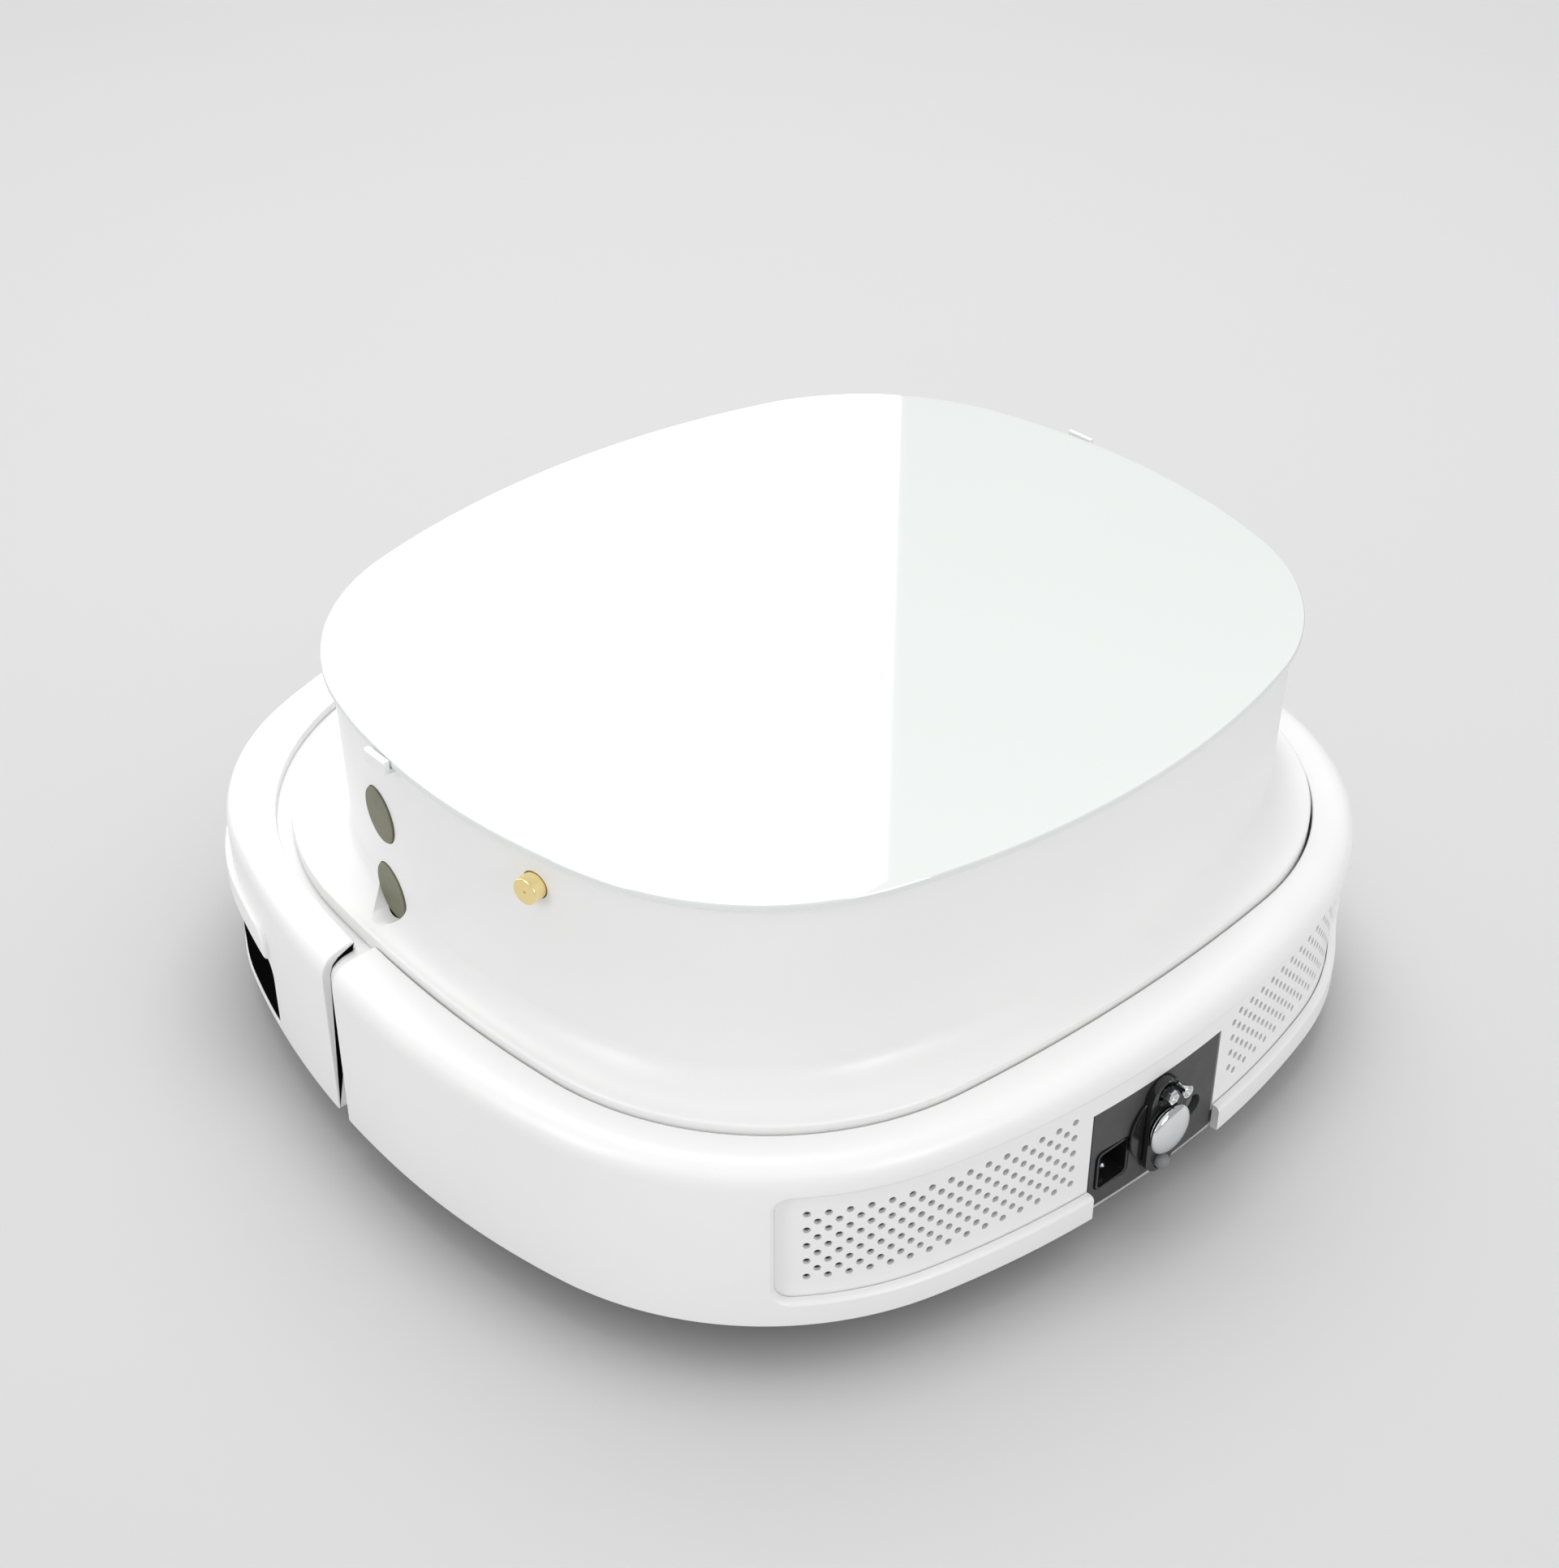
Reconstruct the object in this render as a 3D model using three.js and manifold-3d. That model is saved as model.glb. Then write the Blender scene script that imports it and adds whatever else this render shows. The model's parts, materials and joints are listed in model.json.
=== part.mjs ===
// A low, self-driving two-wheel robot car: a rounded body with a sprung front bumper, a tower with a
// lift-off lid, a rear service panel, two driven wheels on one axle line and two swivel casters.
// Millimetres. +Z up, the bumper faces -Y, the service panel faces +Y, the robot's left is +X.
import * as THREE from 'three';
import { mergeVertices } from 'three/addons/utils/BufferGeometryUtils.js';
import Module from 'manifold-3d';

const wasm = await Module();
wasm.setup();

// ---------------------------------------------------------------- driving dimensions

// Heights below are measured from the lower edge of the body wall.
const GROUND_CLEARANCE = 18;
const FLOOR = -GROUND_CLEARANCE;

// A body outline is two side arcs and two end arcs, joined by corner arcs that are tangent to both.
const quarter = (reach, sideRadius, endRadius, cornerRadius) => ({ reach, sideRadius, endRadius, cornerRadius });
const outline = (half, rear, front) => ({ half, rear, front });

const WALL = outline(200, quarter(183, 323, 405, 125), quarter(221, 419, 304, 112));
const REAR_RING = outline(180.2, quarter(163, 474, 698, 110.5), quarter(163, 474, 698, 110.5));
const BUMPER_RING = outline(184.2, quarter(175, 527, 482, 124), quarter(191.8, 527, 482, 124));
const PLATE = outline(179.4, quarter(162.2, 474, 698, 110.5), quarter(186.5, 700, 520, 130));
const LID = outline(173.8, quarter(155.3, 254, 335, 101), quarter(151.3, 254, 335, 101));

// Segments in the side, corner and end arc of a quarter outline.
const ARC_STEPS = [3, 6, 3];

const CLEARANCE = 0.4;
const RING_TOP = 71.3;
const SHELL_THICKNESS = 3.2;
const BUMPER_THICKNESS = 4.2;

// The bumper ends short of the rear shell; its recessed flange carries on into the gap.
const REAR_SHELL_END = -35.3;
const BUMPER_END = -42.5;
const FLANGE_END = -33.5;
const FLANGE_INSET = SHELL_THICKNESS + CLEARANCE;
const FLANGE_THICKNESS = 2.2;
const FLANGE_REACH = 8;
const FLANGE_TOP = 67.6;

const VISOR = { bottom: 35.5, top: 47.6, proud: 2.5, endY: 95, round: 8 };
const SENSOR_SLOT = { bottom: 2, top: 32, endY: 95, round: 7 };
const SENSOR_WINDOW = { inset: 0.6, thickness: 2.2 };

const PLATE_BOTTOM = 68;
const PLATE_EDGE_TOP = 74.3;
const FLARE_TOP = 86;
const TOWER_SEAM = 0.3;
const FLARE_STEPS = { outside: 6, inside: 3 };
const TOWER_THICKNESS = 3;
const TOWER_TOP_INSET = 3;
const TOWER_FOOT_INSET = 4.6;
const SKIRT_INSET = 13;

const LID_TOP = 155.1;
const LID_THICKNESS = 3;
const LID_BOTTOM = LID_TOP - LID_THICKNESS;
const TOWER_TOP = LID_BOTTOM - CLEARANCE;
const LID_RIM = { inset: 7, thickness: 2, depth: 5 };
const CATCH = { y: -27.5, length: 12, outer: 175.6, step: 173.4, inner: 170.4, bottom: 150.2, top: 155.4 };

const CHASSIS = { bottom: -0.8, thickness: 1.8, rearInset: 4.2, frontInset: 10 };
const CHASSIS_TOP = CHASSIS.bottom + CHASSIS.thickness;

// The long recess across the rear wall: distances run along the wall from its middle.
const RECESS = { reach: 158, bottom: 10.6, top: 57.5, round: 4 };
const GRILLE = { thickness: 1.6, overlap: 3, holeRadius: 1.35, holeSides: 4, firstHole: 42.5 };
const GRILLE_PITCH = 7.45;
const GRILLE_COLUMNS = 29;
const GRILLE_ROW_STEP = 3.55;
const GRILLE_LOWEST_ROW = 19.3;
const GRILLE_TALL_ROWS = 5;

const PANEL = { half: 33.3, bottom: 1.3, top: 45.4, inset: 3.8, thickness: 4.5 };
const PANEL_FACE = WALL.rear.reach - PANEL.inset;
const INLET = { x: 22, z: 17.2, width: 17, height: 18, round: 3, wall: 1, depth: 15, floor: 3 };
const INLET_PIN = { radius: 1.2, length: 8, apart: 8 };
const SWITCH_PLATE = { width: 16, height: 41.6, thickness: 3.6 };
const ROSETTE = { radius: 15, thickness: 1.4 };
const POWER_Z = 24.4;
const POWER_BUTTON = { radius: 10, skirt: 5.4, height: 9.4, stem: 4, wall: 1.4 };
const COLLAR = { outer: 8, thickness: 1.2 };
const HEX_STUD = { acrossFlats: 5, z: 39, length: 7.2 };
const STUD_ROOT = 1.8;
const CONE_STUD = { x: -4.9, z: 40.4, root: 1.5, tip: 2.6, length: 8.8 };
const LAMP = { radius: 3, z: 8, length: 7 };
const RESET = { x: -20.3, z: 18.2, holeRadius: 4.75, depth: 3.5 };

const EYE_RADIUS = 10.6;
const EYES = [
  { name: 'sensor_eye_upper', x: 167.2, y: -43, z: 118.5, tilt: -0.02 },
  { name: 'sensor_eye_lower', x: 166.6, y: -41.5, z: 86, tilt: -0.02 },
];
const SIDE_BUTTON = { radius: 5, x: 166.1, y: 47, z: 138.4, proud: 5, buried: 8, turn: 0.194 };

const WHEEL = { x: 125, radius: 36, width: 22, hubRadius: 27, shaftRadius: 3 };
const AXLE_HEIGHT = FLOOR + WHEEL.radius;
const MOTOR = { gearbox: [26, 34, 30], canRadius: 13, canLength: 34, rise: 2 };
const BRACKET = { thickness: 3, depth: 56, foot: 24, rise: 18 };

const CASTERS = [
  { name: 'front', y: -135 },
  { name: 'rear', y: 110 },
];
const CASTER = { radius: 14, width: 12, trail: 8, axle: 2.5, cheek: 2.5, disc: 15, stem: 4 };
const CASTER_CUP = { outer: 29, inner: 26.5, top: 24, roof: 3 };
const CASTER_HOLE = 25;

const BATTERY = { size: [130, 52, 40], y: 46 };
const BOARD = { size: [120, 84, 1.6], y: -52, z: 54 };
const STANDOFF = { radius: 3.6, bore: 1.8 };
const SCREW = { head: 2.9, headHeight: 1.6, shank: 1.4, length: 9 };
const BUMPER_SWITCH = { x: 96, y: -184, size: [20, 8, 26], lever: [2, 7, 4] };
const BUMPER_STOP = { x: 50, y: -201.4, size: [12, 8, 24] };

// The bounding box of the whole car is centred on the origin.
const REARMOST = PANEL_FACE + Math.max(POWER_BUTTON.height, CONE_STUD.length);
const CENTRE_SHIFT = (WALL.front.reach + VISOR.proud - REARMOST) / 2;

// ---------------------------------------------------------------- materials

const finish = (color, roughness, metalness = 0) => new THREE.MeshStandardMaterial({ color, roughness, metalness });

const MATERIALS = {
  shell: () => finish(0xf2f2f0, 0.45),
  lid: () => finish(0xeef2ef, 0.12),
  panel: () => finish(0x4b4b4d, 0.55),
  gloss: () => finish(0x0b0b0c, 0.08),
  darkPlastic: () => finish(0x1d1d1f, 0.4),
  greyPlastic: () => finish(0x8f9194, 0.5),
  eye: () => finish(0x5c5c47, 0.25),
  gold: () => finish(0xd8a73a, 0.25, 1),
  chrome: () => finish(0xe4e6e8, 0.08, 1),
  steel: () => finish(0xa8abb0, 0.35, 1),
  rubber: () => finish(0x202022, 0.85),
  board: () => finish(0x1d5a36, 0.5),
  battery: () => finish(0x274a7a, 0.5),
  chassis: () => finish(0xc9cac8, 0.6),
};

// ---------------------------------------------------------------- outlines

// The three arcs of a quarter outline; insetting keeps the centres and shortens the radii.
function quarterArcs(half, quarterShape, inset) {
  const { reach, sideRadius, endRadius, cornerRadius } = quarterShape;
  const sideCentre = new THREE.Vector2(half - sideRadius, 0);
  const endCentre = new THREE.Vector2(0, reach - endRadius);
  const toSide = sideRadius - cornerRadius;
  const toEnd = endRadius - cornerRadius;
  const apart = sideCentre.distanceTo(endCentre);
  const axis = endCentre.clone().sub(sideCentre).divideScalar(apart);
  const along = (toSide ** 2 - toEnd ** 2 + apart ** 2) / (2 * apart);
  const across = Math.sqrt(toSide ** 2 - along ** 2);
  const normal = new THREE.Vector2(-axis.y, axis.x);
  const corner = sideCentre.clone().addScaledVector(axis, along).addScaledVector(normal, across);
  const sideAngle = corner.clone().sub(sideCentre).angle();
  const endAngle = corner.clone().sub(endCentre).angle();
  return [
    { centre: sideCentre, radius: sideRadius - inset, from: 0, to: sideAngle },
    { centre: corner, radius: cornerRadius - inset, from: sideAngle, to: endAngle },
    { centre: endCentre, radius: endRadius - inset, from: endAngle, to: Math.PI / 2 },
  ];
}

const onArc = (arc, angle) => new THREE.Vector2(
  arc.centre.x + arc.radius * Math.cos(angle),
  arc.centre.y + arc.radius * Math.sin(angle),
);

// Points of one quarter, from the side towards the end, without the last one.
function quarterPoints(half, quarterShape, inset) {
  return quarterArcs(half, quarterShape, inset).flatMap((arc, index) => {
    const steps = ARC_STEPS[index];
    return Array.from({ length: steps }, (_, i) => onArc(arc, THREE.MathUtils.lerp(arc.from, arc.to, i / steps)));
  });
}

// The closed outline, counterclockwise from the middle of the +X side.
function outlinePoints(shape, inset = 0) {
  const rear = quarterPoints(shape.half, shape.rear, inset);
  const front = quarterPoints(shape.half, shape.front, inset);
  const rearEnd = new THREE.Vector2(0, shape.rear.reach - inset);
  const frontEnd = new THREE.Vector2(0, inset - shape.front.reach);
  const mirror = (points, x, y) => points.map((p) => new THREE.Vector2(p.x * x, p.y * y));
  return [
    ...rear,
    rearEnd,
    ...mirror(rear, -1, 1).reverse(),
    ...mirror(front.slice(1), -1, -1),
    frontEnd,
    ...mirror(front.slice(1), 1, -1).reverse(),
  ];
}

// Place on the body wall at a distance along it from the middle of one end, and the outward normal there.
function wallPlace(end, distance) {
  const arcs = quarterArcs(WALL.half, WALL[end], 0).reverse();
  let left = Math.abs(distance);
  let arc = arcs[0];
  for (const candidate of arcs) {
    arc = candidate;
    const length = arc.radius * (arc.to - arc.from);
    if (left <= length) break;
    left -= length;
  }
  const angle = arc.to - left / arc.radius;
  const flip = new THREE.Vector2(Math.sign(distance) || 1, end === 'rear' ? 1 : -1);
  const normal = new THREE.Vector2(Math.cos(angle), Math.sin(angle)).multiply(flip);
  return { point: onArc(arc, angle).multiply(flip), normal };
}

// Distance along the wall from the middle of one end to the place on the side arc that is |y| away.
function wallDistance(end, y) {
  const [side, corner, endArc] = quarterArcs(WALL.half, WALL[end], 0);
  const length = (arc) => arc.radius * (arc.to - arc.from);
  return length(endArc) + length(corner) + side.radius * (side.to - Math.asin(y / side.radius));
}

// ---------------------------------------------------------------- geometry helpers

// Skins a list of rings of 3-D points; the last ring joins the first one, or both ends get a cap.
function skin(rings, { closed }) {
  const count = rings[0].length;
  const positions = rings.flat().flatMap((p) => [p.x, p.y, p.z]);
  const index = [];
  const joins = closed ? rings.length : rings.length - 1;
  for (let ring = 0; ring < joins; ring += 1) {
    const next = (ring + 1) % rings.length;
    for (let i = 0; i < count; i += 1) {
      const j = (i + 1) % count;
      const [a, b, c, d] = [ring * count + i, ring * count + j, next * count + j, next * count + i];
      index.push(a, b, c, a, c, d);
    }
  }
  if (!closed) {
    const last = (rings.length - 1) * count;
    for (let i = 1; i < count - 1; i += 1) {
      index.push(0, i + 1, i);
      index.push(last, last + i, last + i + 1);
    }
  }
  const geometry = new THREE.BufferGeometry();
  geometry.setAttribute('position', new THREE.Float32BufferAttribute(positions, 3));
  geometry.setIndex(index);
  return geometry;
}

// A hoop around the body: each profile entry is [outline, inset, height], outside first, from the bottom.
const hoop = (profile) => skin(
  profile.map(([shape, inset, z]) => outlinePoints(shape, inset).map((p) => new THREE.Vector3(p.x, p.y, z))),
  { closed: true },
);

// A bar that follows the wall; section(distance) lists [inset, height] corners, counterclockwise.
function wallBar(end, distances, section) {
  const rings = distances.map((distance) => {
    const { point, normal } = wallPlace(end, distance);
    return section(distance).map(([inset, z]) => (
      new THREE.Vector3(point.x - normal.x * inset, point.y - normal.y * inset, z)
    ));
  });
  return skin(end === 'front' ? rings : rings.reverse(), { closed: false });
}

// Evenly spaced values, both ends included.
const spread = (from, to, steps) => Array.from(
  { length: steps + 1 },
  (_, i) => THREE.MathUtils.lerp(from, to, i / steps),
);

// Stations of a bar with rounded ends: close together inside the rounding.
function roundedStations(reach, round, steps) {
  const end = [0, 0.08, 0.3, 0.6].map((part) => reach - part * round);
  return [...end.map((d) => -d), ...spread(round - reach, reach - round, steps), ...end.reverse()];
}

// How much a rounded end takes off the height at a given distance.
function endDrop(distance, reach, round) {
  const into = Math.max(0, round - (reach - Math.abs(distance)));
  return round - Math.sqrt(Math.max(0, round ** 2 - into ** 2));
}

const box = (width, depth, height, x = 0, y = 0, z = 0) => (
  new THREE.BoxGeometry(width, depth, height).translate(x, y, z)
);

// A turned solid about Z from a closed [radius, height] profile.
const turned = (profile, segments = 16) => new THREE.LatheGeometry(
  [...profile, profile[0]].map(([radius, height]) => new THREE.Vector2(radius, height)),
  segments,
).rotateX(Math.PI / 2);

const cylinder = (radius, from, to, segments = 16) => turned([[0, from], [radius, from], [radius, to], [0, to]], segments);

const tube = (outer, inner, from, to, segments = 16) => (
  turned([[inner, from], [outer, from], [outer, to], [inner, to]], segments)
);

// Turns a solid made about Z so that its +Z points along +Y, out of the service panel.
const facingRear = (geometry) => geometry.rotateX(-Math.PI / 2);

// Turns a solid made about Z so that its +Z points along +X.
const facingLeft = (geometry) => geometry.rotateY(Math.PI / 2);

function roundedRect(width, height, round) {
  const [x, y] = [width / 2, height / 2];
  const shape = new THREE.Shape();
  shape.moveTo(-x + round, -y);
  shape.lineTo(x - round, -y);
  shape.absarc(x - round, -y + round, round, -Math.PI / 2, 0);
  shape.lineTo(x, y - round);
  shape.absarc(x - round, y - round, round, 0, Math.PI / 2);
  shape.lineTo(-x + round, y);
  shape.absarc(-x + round, y - round, round, Math.PI / 2, Math.PI);
  shape.lineTo(-x, -y + round);
  shape.absarc(-x + round, -y + round, round, Math.PI, Math.PI * 1.5);
  return shape;
}

// A rounded block standing out of the service panel from one depth to another.
const rearBlock = (width, height, round, from, to, curveSegments = 5) => new THREE.ExtrudeGeometry(
  roundedRect(width, height, round),
  { depth: to - from, bevelEnabled: false, curveSegments },
).translate(0, 0, from).rotateX(-Math.PI / 2);

function solid(geometry) {
  const bare = geometry.clone();
  bare.deleteAttribute('normal');
  bare.deleteAttribute('uv');
  const welded = mergeVertices(bare, 1e-4);
  return new wasm.Manifold(new wasm.Mesh({
    numProp: 3,
    vertProperties: new Float32Array(welded.attributes.position.array),
    triVerts: new Uint32Array(welded.index.array),
  }));
}

function meshGeometry(manifold) {
  const mesh = manifold.getMesh();
  const geometry = new THREE.BufferGeometry();
  geometry.setAttribute('position', new THREE.Float32BufferAttribute(mesh.vertProperties, 3));
  geometry.setIndex(Array.from(mesh.triVerts));
  geometry.computeVertexNormals();
  return geometry;
}

const cut = (base, ...tools) => meshGeometry(tools.reduce((body, tool) => body.subtract(solid(tool)), solid(base)));

const join = (...pieces) => meshGeometry(pieces.map(solid).reduce((a, b) => a.add(b)));

const BIG = 900;
const behind = (y) => box(BIG, BIG, BIG, 0, y + BIG / 2, 0);
const ahead = (y) => box(BIG, BIG, BIG, 0, y - BIG / 2, 0);

const car = new THREE.Group();
const body = new THREE.Group();
body.position.set(0, CENTRE_SHIFT, GROUND_CLEARANCE);
car.add(body);

function part(name, geometry, material, place = [0, 0, 0], turn = [0, 0, 0]) {
  const mesh = new THREE.Mesh(geometry, material());
  mesh.name = name;
  mesh.position.set(...place);
  mesh.rotation.set(...turn);
  body.add(mesh);
  return mesh;
}

// ---------------------------------------------------------------- body shells

// Corners of the rounded upper edge, as [inset, height] on the wall outline.
const OUTER_EDGE = [[0, 61], [0.8, 65.4], [3, 68.6], [6.6, 70.3]];
const INNER_EDGE = [[6.9, 67.2], [4.6, 65.2], [3.4, 62]];

function wallHoop(ring, thickness) {
  return hoop([
    [WALL, 0, 0],
    ...OUTER_EDGE.map(([inset, z]) => [WALL, inset, z]),
    [ring, -0.6, RING_TOP],
    [ring, 0, RING_TOP - 0.6],
    [ring, 0, PLATE_BOTTOM],
    ...INNER_EDGE.map(([inset, z]) => [WALL, inset + thickness - SHELL_THICKNESS, z]),
    [WALL, thickness, 60],
    [WALL, thickness, 0],
  ]);
}

function recessBar(reach, outer, inner, bottom, top, round) {
  const section = (distance) => {
    const drop = endDrop(distance, reach, round);
    return [[outer, bottom + drop], [inner, bottom + drop], [inner, top - drop], [outer, top - drop]];
  };
  return wallBar('rear', roundedStations(reach, round, 20), section);
}

function rearShell() {
  const panelNotch = box(PANEL.half * 2 + CLEARANCE * 2, 40, RECESS.bottom * 2 + 8, 0, WALL.rear.reach, 0);
  const opening = recessBar(RECESS.reach, -6, 14, RECESS.bottom, RECESS.top, RECESS.round);
  return cut(wallHoop(REAR_RING, SHELL_THICKNESS), ahead(REAR_SHELL_END), opening, panelNotch);
}

function flangeHoop() {
  return hoop([
    [WALL, FLANGE_INSET, 0],
    [WALL, FLANGE_INSET, 60],
    [WALL, FLANGE_INSET + 0.8, 63.4],
    [WALL, FLANGE_INSET + 3, 65.6],
    [WALL, FLANGE_INSET + 5.4, 66.8],
    [BUMPER_RING, 0, FLANGE_TOP],
    [BUMPER_RING, FLANGE_REACH, FLANGE_TOP],
    [BUMPER_RING, FLANGE_REACH, FLANGE_TOP - FLANGE_THICKNESS],
    [WALL, FLANGE_INSET + 5.4, 64.6],
    [WALL, FLANGE_INSET + 3.8, 63.4],
    [WALL, FLANGE_INSET + 2.6, 61],
    [WALL, FLANGE_INSET + FLANGE_THICKNESS, 58],
    [WALL, FLANGE_INSET + FLANGE_THICKNESS, 0],
  ]);
}

function visorBar() {
  const reach = wallDistance('front', VISOR.endY);
  const { bottom, top, proud, round } = VISOR;
  const section = (distance) => {
    const drop = endDrop(distance, reach, round);
    return [
      [0.6, bottom],
      [0.6, top - drop],
      [1.2 - proud, top - drop],
      [-proud, top - drop - 1.6],
      [-proud, bottom],
    ];
  };
  return wallBar('front', roundedStations(reach, round, 40), section);
}

function sensorBar(outer, inner, shrink) {
  const reach = wallDistance('front', SENSOR_SLOT.endY) - shrink;
  const section = (distance) => {
    const drop = endDrop(distance, reach, SENSOR_SLOT.round);
    const bottom = SENSOR_SLOT.bottom + shrink + drop * 0.3;
    const top = SENSOR_SLOT.top - shrink - drop;
    return [[outer, bottom], [inner, bottom], [inner, top], [outer, top]];
  };
  return wallBar('front', roundedStations(reach, SENSOR_SLOT.round, 40), section);
}

function bumper() {
  const shell = solid(wallHoop(BUMPER_RING, BUMPER_THICKNESS)).subtract(solid(behind(BUMPER_END)));
  const flange = solid(flangeHoop()).subtract(solid(behind(FLANGE_END)));
  const slot = solid(sensorBar(-9, 12, 0));
  return meshGeometry(shell.add(flange).subtract(slot).add(solid(visorBar())));
}

part('rear_shell', rearShell(), MATERIALS.shell);
part('front_bumper', bumper(), MATERIALS.shell);
part(
  'sensor_window',
  sensorBar(SENSOR_WINDOW.inset, SENSOR_WINDOW.inset + SENSOR_WINDOW.thickness, CLEARANCE),
  MATERIALS.gloss,
);

// ---------------------------------------------------------------- tower and lid

// The concave sweep from the tower wall down to the plate, at one distance inside the surface.
function flare(inset, drop, steps) {
  return spread(0, Math.PI / 2, steps).slice(1, -1).map((angle) => {
    const share = 1 - Math.cos(angle);
    return [share, inset, FLARE_TOP - drop - (FLARE_TOP - PLATE_EDGE_TOP) * Math.sin(angle)];
  });
}

const mixQuarter = (a, b, share) => quarter(...['reach', 'sideRadius', 'endRadius', 'cornerRadius'].map(
  (key) => THREE.MathUtils.lerp(a[key], b[key], share),
));

const mixOutline = (a, b, share) => outline(
  THREE.MathUtils.lerp(a.half, b.half, share),
  mixQuarter(a.rear, b.rear, share),
  mixQuarter(a.front, b.front, share),
);

const insetQuarter = (shape, inset) => quarter(
  shape.reach - inset,
  shape.sideRadius - inset,
  shape.endRadius - inset,
  shape.cornerRadius - inset,
);

const insetOutline = (shape, inset) => outline(
  shape.half - inset,
  insetQuarter(shape.rear, inset),
  insetQuarter(shape.front, inset),
);

// The tower is two mouldings: an upright wall standing on a base that flares out into the deck plate.
const towerFoot = () => insetOutline(LID, TOWER_FOOT_INSET);

function towerWall() {
  const foot = towerFoot();
  return hoop([
    [foot, 0, FLARE_TOP + TOWER_SEAM],
    [LID, TOWER_TOP_INSET, TOWER_TOP],
    [LID, TOWER_TOP_INSET + TOWER_THICKNESS, TOWER_TOP],
    [foot, TOWER_THICKNESS, FLARE_TOP + TOWER_SEAM],
  ]);
}

function towerBase() {
  const foot = towerFoot();
  const along = ([share, inset, z]) => [mixOutline(foot, PLATE, share), inset, z];
  const outside = flare(0, 0, FLARE_STEPS.outside).map(along).reverse();
  const inside = flare(TOWER_THICKNESS, TOWER_THICKNESS, FLARE_STEPS.inside).map(along);
  return hoop([
    [PLATE, SKIRT_INSET, CHASSIS_TOP + CLEARANCE],
    [PLATE, SKIRT_INSET, PLATE_BOTTOM],
    [PLATE, 0, PLATE_BOTTOM],
    [PLATE, 0, PLATE_EDGE_TOP - 0.8],
    [PLATE, 0.8, PLATE_EDGE_TOP],
    ...outside,
    [foot, 0, FLARE_TOP],
    [foot, TOWER_THICKNESS, FLARE_TOP],
    ...inside,
    [PLATE, SKIRT_INSET + TOWER_THICKNESS, PLATE_BOTTOM],
    [PLATE, SKIRT_INSET + TOWER_THICKNESS, CHASSIS_TOP + CLEARANCE],
  ]);
}

// A short rod about Z, turned to point out of the tower's left wall and tilted up.
function wallRod(radius, from, to, { x, y, z, tilt = 0, turn = 0 }, segments) {
  const rod = facingLeft(cylinder(radius, from, to, segments));
  return rod.rotateY(-tilt).rotateZ(turn).translate(x, y, z);
}

const EYE_TURN = -0.16;

const eyeHoles = () =>
  EYES.map((eye) => wallRod(EYE_RADIUS + CLEARANCE, -12, 14, { ...eye, turn: EYE_TURN }, 24));

function towerWallWithHoles() {
  const buttonHole = wallRod(SIDE_BUTTON.radius + CLEARANCE, -12, 8, SIDE_BUTTON, 16);
  return cut(towerWall(), ...eyeHoles(), buttonHole);
}

function lid() {
  const ring = (inset, z) => outlinePoints(LID, inset).map((p) => new THREE.Vector3(p.x, p.y, z));
  const slab = skin(
    [ring(0.7, LID_BOTTOM), ring(0, LID_BOTTOM + 0.7), ring(0, LID_TOP - 0.6), ring(0.6, LID_TOP)],
    { closed: false },
  );
  const rim = hoop([
    [LID, LID_RIM.inset, LID_BOTTOM - LID_RIM.depth],
    [LID, LID_RIM.inset, LID_BOTTOM + 1],
    [LID, LID_RIM.inset + LID_RIM.thickness, LID_BOTTOM + 1],
    [LID, LID_RIM.inset + LID_RIM.thickness, LID_BOTTOM - LID_RIM.depth],
  ]);
  return join(slab, rim);
}

// An L-shaped catch: it stands beside the lid's edge and has a foot under it.
function lidCatch(side) {
  const { y, length, outer, step, inner, bottom, top } = CATCH;
  const shape = new THREE.Shape([
    new THREE.Vector2(inner, bottom),
    new THREE.Vector2(outer, bottom),
    new THREE.Vector2(outer, top - 0.6),
    new THREE.Vector2(outer - 0.6, top),
    new THREE.Vector2(step, top),
    new THREE.Vector2(step, TOWER_TOP),
    new THREE.Vector2(inner, TOWER_TOP),
  ]);
  const geometry = new THREE.ExtrudeGeometry(shape, { depth: length, bevelEnabled: false });
  geometry.rotateX(Math.PI / 2).translate(0, length / 2, 0);
  return geometry.rotateZ(side > 0 ? 0 : Math.PI).translate(0, y, 0);
}

part('tower_wall', towerWallWithHoles(), MATERIALS.shell);
part('tower_base', cut(towerBase(), ...eyeHoles()), MATERIALS.shell);
part('lid', lid(), MATERIALS.lid);
part('lid_catch_left', lidCatch(1), MATERIALS.shell);
part('lid_catch_right', lidCatch(-1), MATERIALS.shell);
for (const eye of EYES) {
  part(eye.name, wallRod(EYE_RADIUS, -3, -0.3, { ...eye, turn: EYE_TURN }, 24), MATERIALS.eye);
}

function sideButton() {
  const rod = turned([
    [0, -SIDE_BUTTON.buried],
    [SIDE_BUTTON.radius, -SIDE_BUTTON.buried],
    [SIDE_BUTTON.radius, SIDE_BUTTON.proud - 0.5],
    [SIDE_BUTTON.radius - 0.5, SIDE_BUTTON.proud],
    [0.5, SIDE_BUTTON.proud],
    [0, SIDE_BUTTON.proud - 0.6],
  ]);
  return facingLeft(rod).rotateZ(SIDE_BUTTON.turn).translate(SIDE_BUTTON.x, SIDE_BUTTON.y, SIDE_BUTTON.z);
}

part('side_button', sideButton(), MATERIALS.gold);

// ---------------------------------------------------------------- rear grille

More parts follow.
